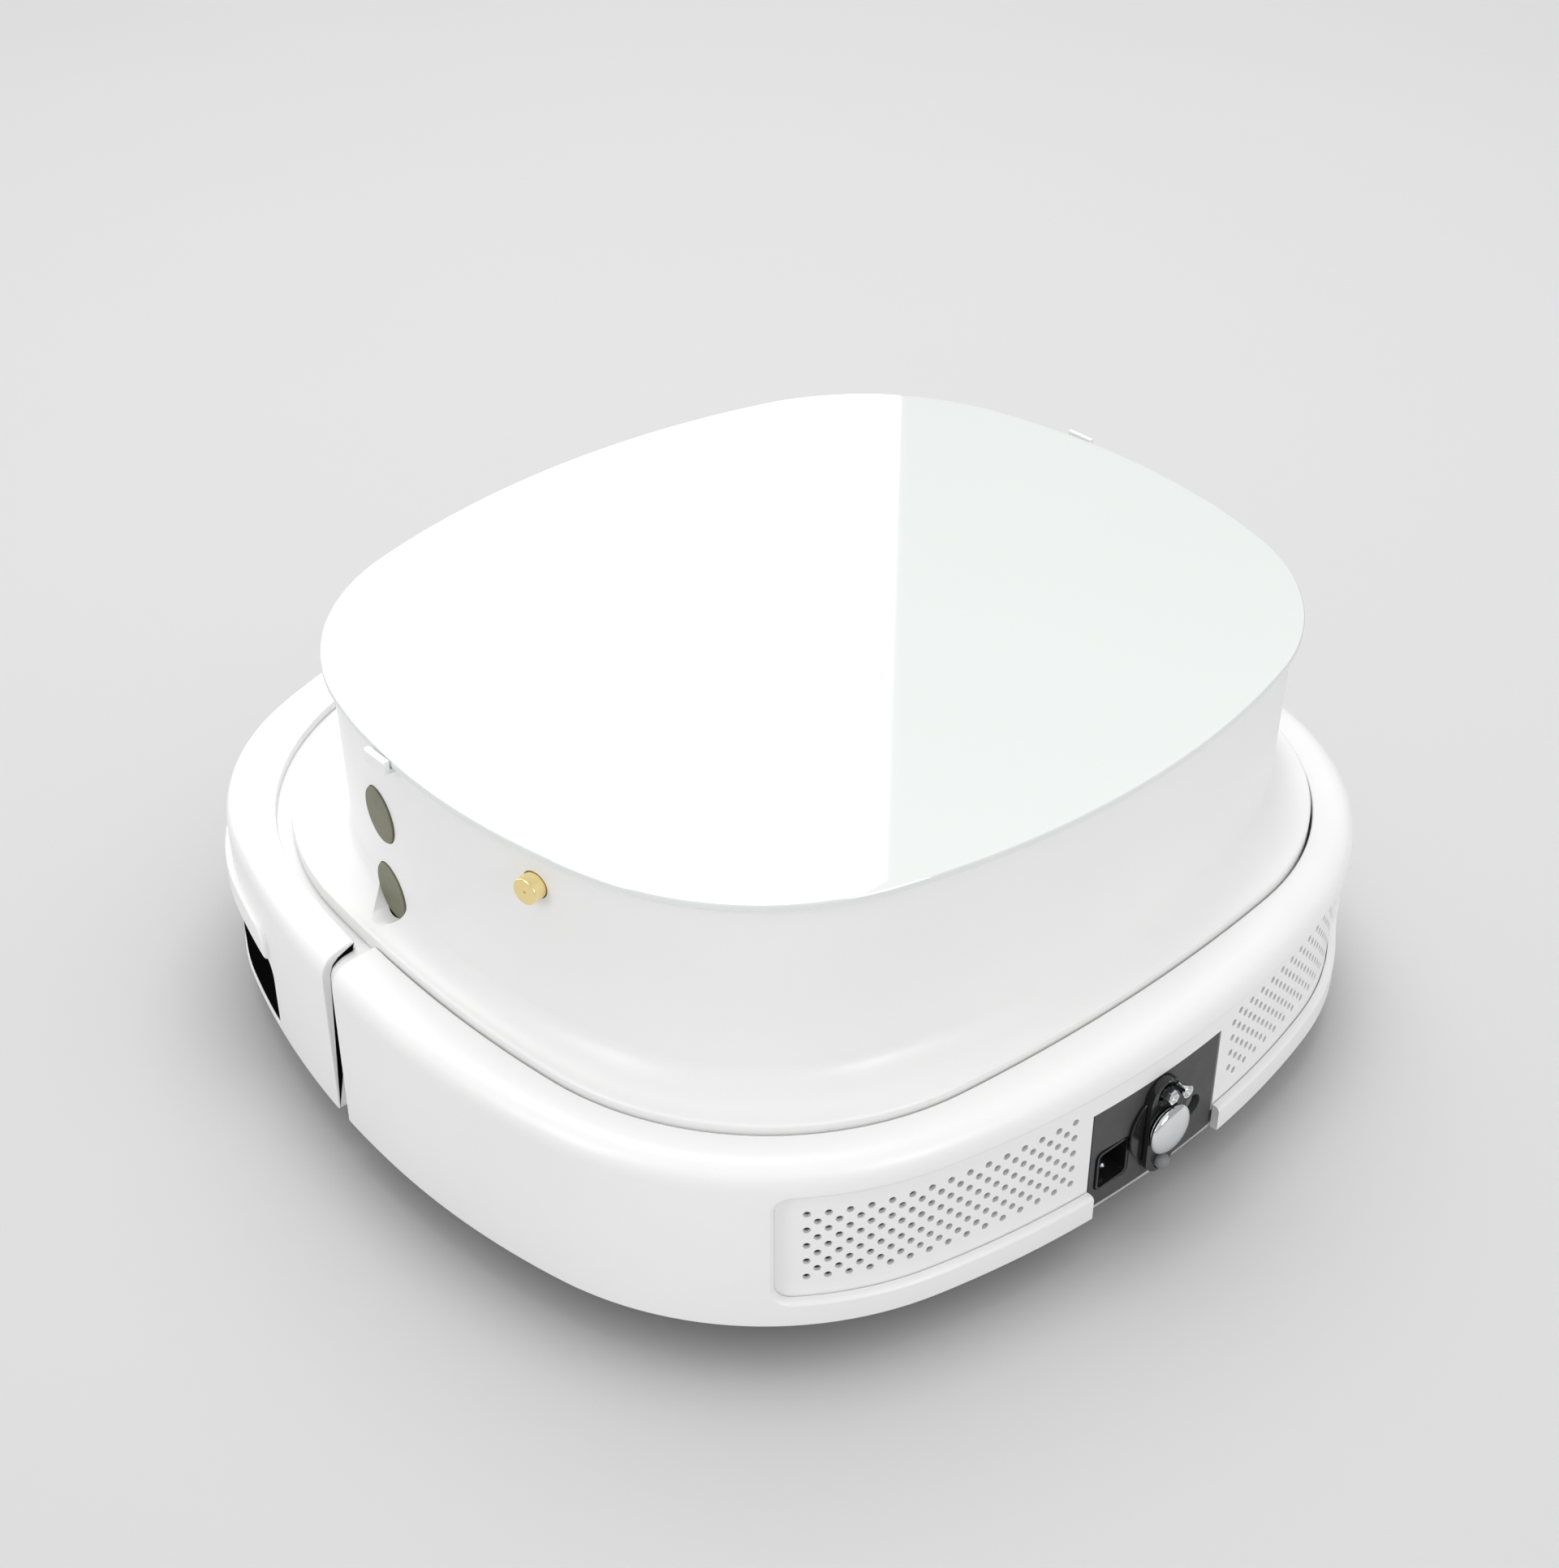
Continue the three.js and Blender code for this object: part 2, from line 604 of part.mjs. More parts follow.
// Staggered hole columns: tall columns and columns with one hole fewer take turns.
function grilleHoles(side) {
  const holes = [];
  for (let column = 0; column < GRILLE_COLUMNS; column += 1) {
    const tall = (column % 2 === 0) === (side > 0);
    const rows = tall ? GRILLE_TALL_ROWS : GRILLE_TALL_ROWS - 1;
    const distance = side * (GRILLE.firstHole + (column * GRILLE_PITCH) / 2);
    const { point, normal } = wallPlace('rear', distance);
    for (let row = 0; row < rows; row += 1) {
      const z = GRILLE_LOWEST_ROW + (2 * row + (tall ? 0 : 1)) * GRILLE_ROW_STEP;
      const hole = cylinder(GRILLE.holeRadius, -9, 1, GRILLE.holeSides);
      hole.rotateX(-Math.PI / 2).rotateZ(normal.angle() - Math.PI / 2).translate(point.x, point.y, z);
      holes.push(solid(hole));
    }
  }
  return holes;
}

function rearGrille() {
  const outer = SHELL_THICKNESS + CLEARANCE;
  const { overlap, thickness } = GRILLE;
  const [bottom, top] = [RECESS.bottom - overlap, RECESS.top + overlap];
  const sheet = hoop([
    [WALL, outer, bottom],
    [WALL, outer, top],
    [WALL, outer + thickness, top],
    [WALL, outer + thickness, bottom],
  ]);
  const keep = recessBar(RECESS.reach + overlap, -6, 14, bottom, top, RECESS.round);
  const panelGap = box(
    PANEL.half * 2 + CLEARANCE * 2,
    40,
    PANEL.top + CLEARANCE,
    0,
    WALL.rear.reach,
    (PANEL.top + CLEARANCE) / 2,
  );
  const holes = wasm.Manifold.union([...grilleHoles(1), ...grilleHoles(-1)]);
  return meshGeometry(solid(sheet).intersect(solid(keep)).subtract(solid(panelGap)).subtract(holes));
}

part('rear_grille', rearGrille(), MATERIALS.shell);

// ---------------------------------------------------------------- service panel

// Moves a solid made about the panel's own axis to its place on the panel's face.
const onPanel = (geometry, x, z) => geometry.translate(x, PANEL_FACE, z);

function rearPanel() {
  const { half, bottom, top, inset, thickness } = PANEL;
  const sheet = wallBar('rear', spread(-half, half, 10), () => [
    [inset, bottom],
    [inset + thickness, bottom],
    [inset + thickness, top],
    [inset, top],
  ]);
  const inletHole = rearBlock(INLET.width, INLET.height, INLET.round, -20, 8, 3);
  const resetHole = facingRear(cylinder(RESET.holeRadius, -20, 8));
  const powerHole = facingRear(cylinder(POWER_BUTTON.stem + CLEARANCE, -20, 8));
  return cut(
    sheet,
    onPanel(inletHole, INLET.x, INLET.z),
    onPanel(resetHole, RESET.x, RESET.z),
    onPanel(powerHole, 0, POWER_Z),
  );
}

function inletSocket() {
  const { width, height, round, wall, depth, floor } = INLET;
  const outside = rearBlock(width - CLEARANCE * 2, height - CLEARANCE * 2, round - CLEARANCE, -depth, -1.2, 3);
  const inner = [width - CLEARANCE * 2 - wall * 2, height - CLEARANCE * 2 - wall * 2];
  const inside = rearBlock(inner[0], inner[1], round - wall, floor - depth, 4, 2);
  const pinHoles = [-1, 1].map((side) => (
    facingRear(cylinder(INLET_PIN.radius + 0.3, -depth - 1, 0, 8)).translate(0, 0, (side * INLET_PIN.apart) / 2)
  ));
  return onPanel(cut(outside, inside, ...pinHoles), INLET.x, INLET.z);
}

function inletPin(side) {
  const back = -INLET.depth;
  const tip = back + INLET.floor + INLET_PIN.length;
  const pin = turned([[0, back], [INLET_PIN.radius, back], [INLET_PIN.radius, tip - 0.8], [0.4, tip], [0, tip]], 8);
  return onPanel(facingRear(pin), INLET.x, INLET.z + (side * INLET_PIN.apart) / 2);
}

// The rosette lies under the switch plate, so the plate's back is stepped over it.
const ROSETTE_GAP = 0.3;

function rosette() {
  const disc = facingRear(tube(ROSETTE.radius, POWER_BUTTON.stem + CLEARANCE, ROSETTE_GAP, ROSETTE.thickness, 24));
  return onPanel(disc, 0, POWER_Z);
}

function switchPlate() {
  const { width, height, thickness } = SWITCH_PLATE;
  const plate = rearBlock(width, height, width / 2 - 0.2, ROSETTE_GAP, thickness, 6);
  const rosettePocket = facingRear(cylinder(ROSETTE.radius + ROSETTE_GAP, -2, ROSETTE.thickness + ROSETTE_GAP, 24));
  const powerHole = facingRear(cylinder(POWER_BUTTON.stem + CLEARANCE, -2, 9));
  const hexHole = facingRear(cylinder(HEX_STUD.acrossFlats / 2 + 1, -2, 9)).translate(0, 0, HEX_STUD.z - POWER_Z);
  const lampHole = facingRear(cylinder(LAMP.radius + CLEARANCE, -2, 9)).translate(0, 0, LAMP.z - POWER_Z);
  return onPanel(cut(plate, rosettePocket, powerHole, hexHole, lampHole), 0, POWER_Z);
}

function knobCollar() {
  const from = SWITCH_PLATE.thickness + 0.3;
  const ring = tube(COLLAR.outer, POWER_BUTTON.stem + CLEARANCE, from, from + COLLAR.thickness);
  return onPanel(facingRear(ring), 0, POWER_Z);
}

// A domed cap over the collar, on a stem that passes through plate, rosette and panel.
function powerButton() {
  const { radius, skirt, height, stem, wall } = POWER_BUTTON;
  const dome = spread(0, Math.PI / 2, 5).slice(0, -1).map((angle) => (
    [radius * Math.cos(angle), skirt + 1.2 + (height - skirt - 1.2) * Math.sin(angle)]
  ));
  const roof = skirt + 2;
  const profile = [
    [0, -9],
    [stem, -9],
    [stem, roof],
    [radius - wall, roof],
    [radius - wall, skirt],
    [radius - 0.4, skirt],
    ...dome,
    [0, height],
  ];
  return onPanel(facingRear(turned(profile, 24)), 0, POWER_Z);
}

function hexStud() {
  const radius = HEX_STUD.acrossFlats / Math.sqrt(3);
  const rod = turned([[0, STUD_ROOT], [radius, STUD_ROOT], [radius, HEX_STUD.length - 0.5], [radius - 0.5, HEX_STUD.length],
    [0, HEX_STUD.length]], 6);
  return onPanel(facingRear(rod), 0, HEX_STUD.z);
}

function coneStud() {
  const { root, tip, length } = CONE_STUD;
  const foot = SWITCH_PLATE.thickness + 0.3;
  const horn = turned([[0, foot], [root, foot], [root, foot + 1.2], [tip - 0.6, length - 1.8], [tip, length],
    [tip - 0.9, length], [0, length - 2.6]], 14);
  return onPanel(facingRear(horn), CONE_STUD.x, CONE_STUD.z);
}

function lampStud() {
  const { radius, length } = LAMP;
  const dome = spread(0, Math.PI / 2, 4).slice(0, -1).map((angle) => (
    [radius * Math.cos(angle), length - radius + radius * Math.sin(angle)]
  ));
  return onPanel(facingRear(turned([[0, STUD_ROOT], [radius, STUD_ROOT], ...dome, [0, length]], 12)), 0, LAMP.z);
}

function resetButton() {
  const radius = RESET.holeRadius - CLEARANCE;
  const face = -RESET.depth;
  const cap = turned([[0, face - 8], [radius, face - 8], [radius, face - 0.5], [radius - 0.5, face], [0, face]]);
  return onPanel(facingRear(cap), RESET.x, RESET.z);
}

part('rear_panel', rearPanel(), MATERIALS.panel);
part('inlet_socket', inletSocket(), MATERIALS.darkPlastic);
part('inlet_pin_upper', inletPin(1), MATERIALS.steel);
part('inlet_pin_lower', inletPin(-1), MATERIALS.steel);
part('switch_rosette', rosette(), MATERIALS.panel);
part('switch_plate', switchPlate(), MATERIALS.panel);
part('knob_collar', knobCollar(), MATERIALS.chrome);
part('power_button', powerButton(), MATERIALS.chrome);
part('hex_stud', hexStud(), MATERIALS.chrome);
part('cone_stud', coneStud(), MATERIALS.chrome);
part('lamp_stud', lampStud(), MATERIALS.greyPlastic);
part('reset_button', resetButton(), MATERIALS.greyPlastic);

// ---------------------------------------------------------------- chassis

const SCREW_PLACES = [-1, 1].flatMap((x) => [-1, 1].map((y) => [
  x * (BOARD.size[0] / 2 - 8),
  BOARD.y + y * (BOARD.size[1] / 2 - 8),
]));

// Rear half fits inside the rear shell, front half leaves room for the bumper's stroke.
function chassisPlate() {
  const { bottom, thickness, rearInset, frontInset } = CHASSIS;
  const rear = outlinePoints(WALL, rearInset).filter((p) => p.y > -REAR_SHELL_END / 2);
  const front = outlinePoints(WALL, frontInset).filter((p) => p.y < REAR_SHELL_END / 2);
  const plate = new THREE.ExtrudeGeometry(new THREE.Shape([...rear, ...front]), {
    depth: thickness,
    bevelEnabled: false,
  }).translate(0, 0, bottom);
  const wheelSlots = [-1, 1].map((side) => box(WHEEL.width + 10, WHEEL.radius * 2 + 8, 20, side * WHEEL.x));
  const casterHoles = CASTERS.map((caster) => cylinder(CASTER_HOLE, -9, 9, 24).translate(0, caster.y, 0));
  const screwHoles = SCREW_PLACES.map(([x, y]) => cylinder(SCREW.shank + CLEARANCE, -9, 9, 8).translate(x, y, 0));
  return cut(plate, ...wheelSlots, ...casterHoles, ...screwHoles);
}

part('chassis_plate', chassisPlate(), MATERIALS.chassis);

// ---------------------------------------------------------------- drive wheels

function tyre() {
  const { radius, width, hubRadius } = WHEEL;
  const half = width / 2;
  return turned([
    [hubRadius + 0.5, -half],
    [radius - 3, -half],
    [radius, -half + 3],
    [radius, half - 3],
    [radius - 3, half],
    [hubRadius + 0.5, half],
  ], 32);
}

function hub() {
  const { hubRadius, width, shaftRadius } = WHEEL;
  const half = width / 2;
  const disc = turned([
    [shaftRadius + 0.3, -half + 2],
    [9, -half + 2],
    [9, -2],
    [hubRadius - 3, -2],
    [hubRadius - 3, -half + 1],
    [hubRadius, -half + 1],
    [hubRadius, half - 1],
    [hubRadius - 3, half - 1],
    [hubRadius - 3, 2],
    [9, 2],
    [9, half - 2],
    [shaftRadius + 0.3, half - 2],
  ], 20);
  const windows = spread(0, Math.PI * 2, 5).slice(1).map((angle) => (
    cylinder(4.5, -5, 5, 8).translate(16.5 * Math.cos(angle), 16.5 * Math.sin(angle), 0)
  ));
  return cut(disc, ...windows);
}

function driveShaft() {
  const inner = -(WHEEL.width / 2 + 10);
  return cylinder(WHEEL.shaftRadius, inner, WHEEL.width / 2, 12);
}

// Gearbox block with the motor can behind it, about the wheel's axle line.
function gearMotor() {
  const [width, depth, height] = MOTOR.gearbox;
  const start = -(WHEEL.width / 2 + 12);
  const block = box(height, depth, width, -MOTOR.rise, 0, start - width / 2);
  const can = cylinder(MOTOR.canRadius, -MOTOR.canLength, 1).translate(0, 0, start - width);
  return join(block, can);
}

// An angle bracket: a foot on the chassis plate and a web between gearbox and wheel.
function motorBracket() {
  const web = -(WHEEL.width / 2 + 8);
  const down = AXLE_HEIGHT - CHASSIS_TOP - CLEARANCE;
  const { thickness, depth, foot, rise } = BRACKET;
  const angle = new THREE.Shape([
    new THREE.Vector2(-rise, web),
    new THREE.Vector2(-rise, web - thickness),
    new THREE.Vector2(down - thickness, web - thickness),
    new THREE.Vector2(down - thickness, web - foot),
    new THREE.Vector2(down, web - foot),
    new THREE.Vector2(down, web),
  ].reverse());
  const plate = new THREE.ExtrudeGeometry(angle, { depth, bevelEnabled: false });
  plate.rotateX(Math.PI / 2).translate(0, depth / 2, 0);
  const bore = cylinder(WHEEL.shaftRadius + CLEARANCE, web - 9, web + 9, 12);
  return cut(plate, bore);
}

for (const [side, label] of [[1, 'left'], [-1, 'right']]) {
  // Made about Z with +Z outwards; local +X ends up pointing down.
  const place = [side * WHEEL.x, 0, AXLE_HEIGHT];
  const turn = side > 0 ? [0, Math.PI / 2, 0] : [0, -Math.PI / 2, Math.PI];
  part(`wheel_tyre_${label}`, tyre(), MATERIALS.rubber, place, turn);
  part(`wheel_hub_${label}`, hub(), MATERIALS.greyPlastic, place, turn);
  part(`drive_shaft_${label}`, driveShaft(), MATERIALS.steel, place, turn);
  part(`gear_motor_${label}`, gearMotor(), MATERIALS.darkPlastic, place, turn);
  part(`motor_bracket_${label}`, motorBracket(), MATERIALS.steel, place, turn);
}

// ---------------------------------------------------------------- casters

function casterCup() {
  const { outer, inner, top, roof } = CASTER_CUP;
  const foot = CHASSIS_TOP + CLEARANCE;
  const bore = CASTER.stem + CLEARANCE;
  return turned([[inner, foot], [outer, foot], [outer, top], [bore, top], [bore, top - roof], [inner, top - roof]], 24);
}

function casterFork() {
  const { radius, width, trail, axle, cheek, disc, stem } = CASTER;
  const axleHeight = FLOOR + radius;
  const discTop = CASTER_CUP.top - CASTER_CUP.roof - CLEARANCE;
  const swivel = turned([[0, discTop - 3], [disc, discTop - 3], [disc, discTop], [stem, discTop],
    [stem, CASTER_CUP.top + 3], [0, CASTER_CUP.top + 3]]);
  const cheeks = [-1, 1].map((side) => {
    const x = side * (width / 2 + CLEARANCE + cheek / 2);
    const rise = discTop - 2 - (axleHeight - 5);
    return box(cheek, 13, rise, x, trail, axleHeight - 5 + rise / 2);
  });
  const bore = facingLeft(cylinder(axle + 0.3, -30, 30, 10)).translate(0, trail, axleHeight);
  return cut(join(swivel, ...cheeks), bore);
}

function casterWheel() {
  const { radius, width, axle } = CASTER;
  const half = width / 2;
  return facingLeft(turned([
    [axle + 0.3, -half],
    [radius - 1.5, -half],
    [radius, -half + 1.5],
    [radius, half - 1.5],
    [radius - 1.5, half],
    [axle + 0.3, half],
  ], 20));
}

const casterAxle = () => facingLeft(cylinder(CASTER.axle, -CASTER.width / 2 - 3, CASTER.width / 2 + 3, 10));

for (const { name, y } of CASTERS) {
  const wheelPlace = [0, y + CASTER.trail, FLOOR + CASTER.radius];
  part(`caster_cup_${name}`, casterCup(), MATERIALS.darkPlastic, [0, y, 0]);
  part(`caster_fork_${name}`, casterFork(), MATERIALS.steel, [0, y, 0]);
  part(`caster_wheel_${name}`, casterWheel(), MATERIALS.rubber, wheelPlace);
  part(`caster_axle_${name}`, casterAxle(), MATERIALS.steel, wheelPlace);
}

// ---------------------------------------------------------------- inside

function batteryPack() {
  const [width, depth, height] = BATTERY.size;
  const base = CHASSIS_TOP + CLEARANCE;
  const block = box(width, depth, height, 0, BATTERY.y, base + height / 2);
  const plug = box(18, 10, 8, width / 2 - 20, BATTERY.y - depth / 2, base + height - 6);
  return join(block, plug);
}

function controlBoard() {
  const [width, depth, thickness] = BOARD.size;
  const sheet = box(width, depth, thickness, 0, BOARD.y, BOARD.z);
  const chips = [[-24, 10, 22, 4], [18, -8, 14, 3], [34, 20, 12, 9]].map(([x, y, size, height]) => (
    box(size, size, height, x, BOARD.y + y, BOARD.z + height / 2)
  ));
  return join(sheet, ...chips);
}

function standoff(x, y) {
  const top = BOARD.z - BOARD.size[2] / 2 - CLEARANCE;
  return tube(STANDOFF.radius, STANDOFF.bore, CHASSIS_TOP + CLEARANCE, top, 8).translate(x, y, 0);
}

function screw(x, y) {
  const top = CHASSIS.bottom - 0.3;
  return turned([[0, top - SCREW.headHeight], [SCREW.head, top - SCREW.headHeight], [SCREW.head, top],
    [SCREW.shank, top], [SCREW.shank, top + SCREW.length], [0, top + SCREW.length]], 8).translate(x, y, 0);
}

// A block that stands on the chassis plate.
const standing = (size, x, y) => box(...size, x, y, CHASSIS_TOP + CLEARANCE + size[2] / 2);

function bumperSwitch(side) {
  const { x, y, size, lever } = BUMPER_SWITCH;
  const block = standing(size, side * x, y);
  const arm = box(...lever, side * (x + 5), y - size[1] / 2 - lever[1] / 2 + 1, size[2] - 4);
  return join(block, arm);
}

const bumperStop = (side) => standing(BUMPER_STOP.size, side * BUMPER_STOP.x, BUMPER_STOP.y);

part('battery_pack', batteryPack(), MATERIALS.battery);
part('control_board', controlBoard(), MATERIALS.board);
SCREW_PLACES.forEach(([x, y], index) => {
  part(`standoff_${index + 1}`, standoff(x, y), MATERIALS.steel);
  part(`screw_${index + 1}`, screw(x, y), MATERIALS.steel);
});
for (const [side, label] of [[1, 'left'], [-1, 'right']]) {
  part(`bumper_switch_${label}`, bumperSwitch(side), MATERIALS.darkPlastic);
  part(`bumper_stop_${label}`, bumperStop(side), MATERIALS.rubber);
}

export default car;
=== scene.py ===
import json
import math

import bmesh
import bpy
import numpy as np
from mathutils import Matrix, Vector

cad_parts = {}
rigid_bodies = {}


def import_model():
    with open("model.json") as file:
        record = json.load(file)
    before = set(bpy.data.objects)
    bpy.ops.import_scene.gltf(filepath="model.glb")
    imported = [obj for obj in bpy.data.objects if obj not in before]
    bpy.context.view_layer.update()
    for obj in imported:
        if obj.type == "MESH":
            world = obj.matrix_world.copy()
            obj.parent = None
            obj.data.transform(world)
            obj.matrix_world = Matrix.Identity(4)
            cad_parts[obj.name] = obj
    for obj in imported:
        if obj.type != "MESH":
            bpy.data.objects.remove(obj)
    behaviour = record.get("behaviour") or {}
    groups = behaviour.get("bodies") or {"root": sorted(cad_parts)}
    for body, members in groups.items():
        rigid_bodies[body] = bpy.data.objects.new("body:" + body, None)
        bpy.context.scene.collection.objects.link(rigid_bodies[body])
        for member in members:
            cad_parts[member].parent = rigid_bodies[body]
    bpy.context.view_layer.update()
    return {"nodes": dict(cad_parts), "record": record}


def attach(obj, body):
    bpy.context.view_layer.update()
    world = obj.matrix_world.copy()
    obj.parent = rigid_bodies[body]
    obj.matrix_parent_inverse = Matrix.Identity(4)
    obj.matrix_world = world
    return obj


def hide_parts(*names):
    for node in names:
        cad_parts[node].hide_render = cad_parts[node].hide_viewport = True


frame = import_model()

# ---------------------------------------------------------------- dimensions in mm, z from the wall's foot

MM = 0.001
SHIFT = Vector((0, 17.45, 18))

# Outline: half width, then reach, side, end and corner radius of the rear half and of the front half.
WALL = np.array([200, 183, 323, 405, 125, 221, 419, 304, 112.0])
REAR_RING = np.array([180.2, 163, 474, 698, 110.5, 163, 474, 698, 110.5])
BUMPER_RING = np.array([184.2, 175, 527, 482, 124, 191.8, 527, 482, 124])
PLATE = np.array([179.4, 162.2, 474, 698, 110.5, 186.5, 700, 520, 130])
LID = np.array([173.8, 155.3, 254, 335, 101, 151.3, 254, 335, 101])
ARC_STEPS = (14, 26, 14)

RING_TOP = 71.3
REAR_SHELL_END = -35.3
BUMPER_END = -42.5
FLANGE_END = -33.5
PLATE_BOTTOM, PLATE_EDGE_TOP, FLARE_TOP = 68, 74.3, 86
LID_TOP, LID_BOTTOM = 155.1, 152.1
TOWER_TOP = 151.7
CHASSIS_TOP = 1.0
RECESS = dict(reach=158, bottom=10.6, top=57.5, round=6)
PANEL_FACE = 179.2
PANEL_HALF_WIDTH = 33.3

SLOT_END_Y = 95
SLOT_BOTTOM, SLOT_TOP, SLOT_ROUND = 2, 32, 7
WINDOW_GAP = 0.4
VISOR_BOTTOM, VISOR_TOP, VISOR_ROUND = 35.5, 47.6, 8
TOWER_FOOT_INSET = 4.6

# Each eye: its node, then x, y, z and tilt.
EYES = [("sensor_eye_upper", 167.2, -43, 118.5, -0.02), ("sensor_eye_lower", 166.6, -41.5, 86, -0.02)]
EYE_TURN = -0.16
EYE_HOLE_RADIUS = 10.9
SIDE_BUTTON_PLACE = (166.1, 47, 138.4)
SIDE_BUTTON_TURN = 0.194
SIDE_BUTTON_HOLE_RADIUS = 5.25

# Places on the service panel, as x and z, and the height alone of what stands on its middle line.
INLET_PLACE = (22, 17.2)
RESET_PLACE = (-20.3, 18.2)
CONE_PLACE = (-4.9, 40.4)
POWER_Z, HEX_Z, LAMP_Z = 24.4, 39, 8
STEM_HOLE_RADIUS = 4.4
LAMP_HOLE_RADIUS = 3.4
RESET_HOLE_RADIUS = 4.75
PIN_OFFSET, PIN_HOLE_RADIUS = 4, 1.5

VENT_COLUMNS, VENT_PITCH, VENT_START = 29, 3.725, 42.5
VENT_ROWS, VENT_ROW_STEP, VENT_BOTTOM, VENT_RADIUS = 5, 3.55, 19.3, 1.35

WHEEL_X, WHEEL_Z = 125, 18
TREAD_BLOCKS, TREAD_ROW = 36, 7.4
CASTER_WHEELS = [("front", -127), ("rear", 118)]
CASTER_WHEEL_Z = -4


# ---------------------------------------------------------------- outlines

def quarter_arcs(half, reach, side_r, end_r, corner_r):
    side = np.array([half - side_r, 0.0])
    end = np.array([0.0, reach - end_r])
    to_side, to_end = side_r - corner_r, end_r - corner_r
    apart = np.linalg.norm(end - side)
    axis = (end - side) / apart
    along = (to_side ** 2 - to_end ** 2 + apart ** 2) / (2 * apart)
    across = math.sqrt(to_side ** 2 - along ** 2)
    corner = side + axis * along + np.array([-axis[1], axis[0]]) * across
    a = math.atan2(*(corner - side)[::-1])
    b = math.atan2(*(corner - end)[::-1])
    return [(side, side_r, 0.0, a), (corner, corner_r, a, b), (end, end_r, b, math.pi / 2)]


def on_arc(arc, angle):
    return arc[0] + arc[1] * np.array([math.cos(angle), math.sin(angle)])


def quarter_points(arcs, start=0.0):
    """From the side, where |y| is start, to the middle of the end, both included."""
    points = []
    for index, (arc, steps) in enumerate(zip(arcs, ARC_STEPS)):
        first = math.asin(start / arc[1]) if index == 0 else arc[2]
        points += [on_arc(arc, first + (arc[3] - first) * i / steps) for i in range(steps)]
    return np.array(points + [on_arc(arcs[-1], math.pi / 2)])


def outline_points(shape):
    """The whole closed outline, counterclockwise from the middle of the left side."""
    rear = quarter_points(quarter_arcs(shape[0], *shape[1:5]))
    front = quarter_points(quarter_arcs(shape[0], *shape[5:9]))
    return np.vstack([
        rear, (rear * (-1, 1))[-2::-1], (front * (-1, -1))[1:], (front * (1, -1))[-2:0:-1],
    ])


def open_points(shape, end, limit):
    """The outline on one side of the plane y = limit, counterclockwise."""
    near, far = (shape[1:5], shape[5:9]) if end == "rear" else (shape[5:9], shape[1:5])
    turn = 1 if end == "rear" else -1
    start = limit * turn
    points = quarter_points(quarter_arcs(shape[0], *near), max(start, 0.0))
    if start < 0:
        side = quarter_arcs(shape[0], *far)[0]
        back = [on_arc(side, math.asin(-start / side[1]) * (1 - i / 4)) * (1, -1) for i in range(4)]
        points = np.vstack([back, points])
    both = np.vstack([points, (points * (-1, 1))[-2::-1]])
    return both if end == "rear" else (both * (-1, -1))


WALL_ARCS = {"rear": quarter_arcs(200, *WALL[1:5]), "front": quarter_arcs(200, *WALL[5:9])}


def wall_place(end, distance, inset=0.0):
    """A place on the wall by its distance from the middle of one end, moved inwards by inset."""
    left = abs(distance)
    arc = None
    for arc in reversed(WALL_ARCS[end]):
        length = arc[1] * (arc[3] - arc[2])
        if left <= length:
            break
        left -= length
    angle = arc[3] - left / arc[1]
    flip = np.array([math.copysign(1, distance), 1 if end == "rear" else -1])
    normal = np.array([math.cos(angle), math.sin(angle)]) * flip
    return on_arc(arc, angle) * flip - normal * inset, normal


def wall_distance(end, y):
    side, corner, last = WALL_ARCS[end]
    return last[1] * (last[3] - last[2]) + corner[1] * (corner[3] - corner[2]) + side[1] * (
        side[3] - math.asin(y / side[1]))


# ---------------------------------------------------------------- mesh helpers

def mesh_object(name, verts, faces):
    """A new object from vertices in millimetres above the wall's foot."""
    mesh = bpy.data.meshes.new(name)
    mesh.from_pydata([(Vector(v) + SHIFT) * MM for v in verts], [], faces)
    obj = bpy.data.objects.new(name, mesh)
    bpy.context.scene.collection.objects.link(obj)
    face_out(obj)
    return obj


def edit(obj, work):
    bm = bmesh.new()
    bm.from_mesh(obj.data)
    work(bm)
    bm.to_mesh(obj.data)
    bm.free()
    return obj


def face_out(obj):
    return edit(obj, lambda bm: bmesh.ops.recalc_face_normals(bm, faces=bm.faces))


def skin_faces(rings, count, closed_around=True, closed_along=False):
    faces = []
    for r in range(rings if closed_along else rings - 1):
        n = (r + 1) % rings
        for i in range(count if closed_around else count - 1):
            j = (i + 1) % count
            faces.append((r * count + i, r * count + j, n * count + j, n * count + i))
    return faces


def hoop(name, profile):
    """A closed hoop: each profile entry is an outline and a height."""
    rings = [[(x, y, z) for x, y in outline_points(shape)] for shape, z in profile]
    return mesh_object(name, sum(rings, []), skin_faces(len(rings), len(rings[0]), closed_along=True))


def shrunk(profile, amount):
    """The profile moved inwards by amount, square to itself."""
    flat = np.array([(shape[0], z) for shape, z in profile])
    along = np.roll(flat, -1, 0) - flat
    along /= np.linalg.norm(along, axis=1)[:, None]
    normals = np.stack([along[:, 1], -along[:, 0]], 1)
    normals = normals + np.roll(normals, 1, 0)
    normals /= np.linalg.norm(normals, axis=1)[:, None]
    return [(shape - amount * n[0], z - amount * n[1]) for (shape, z), n in zip(profile, normals)]


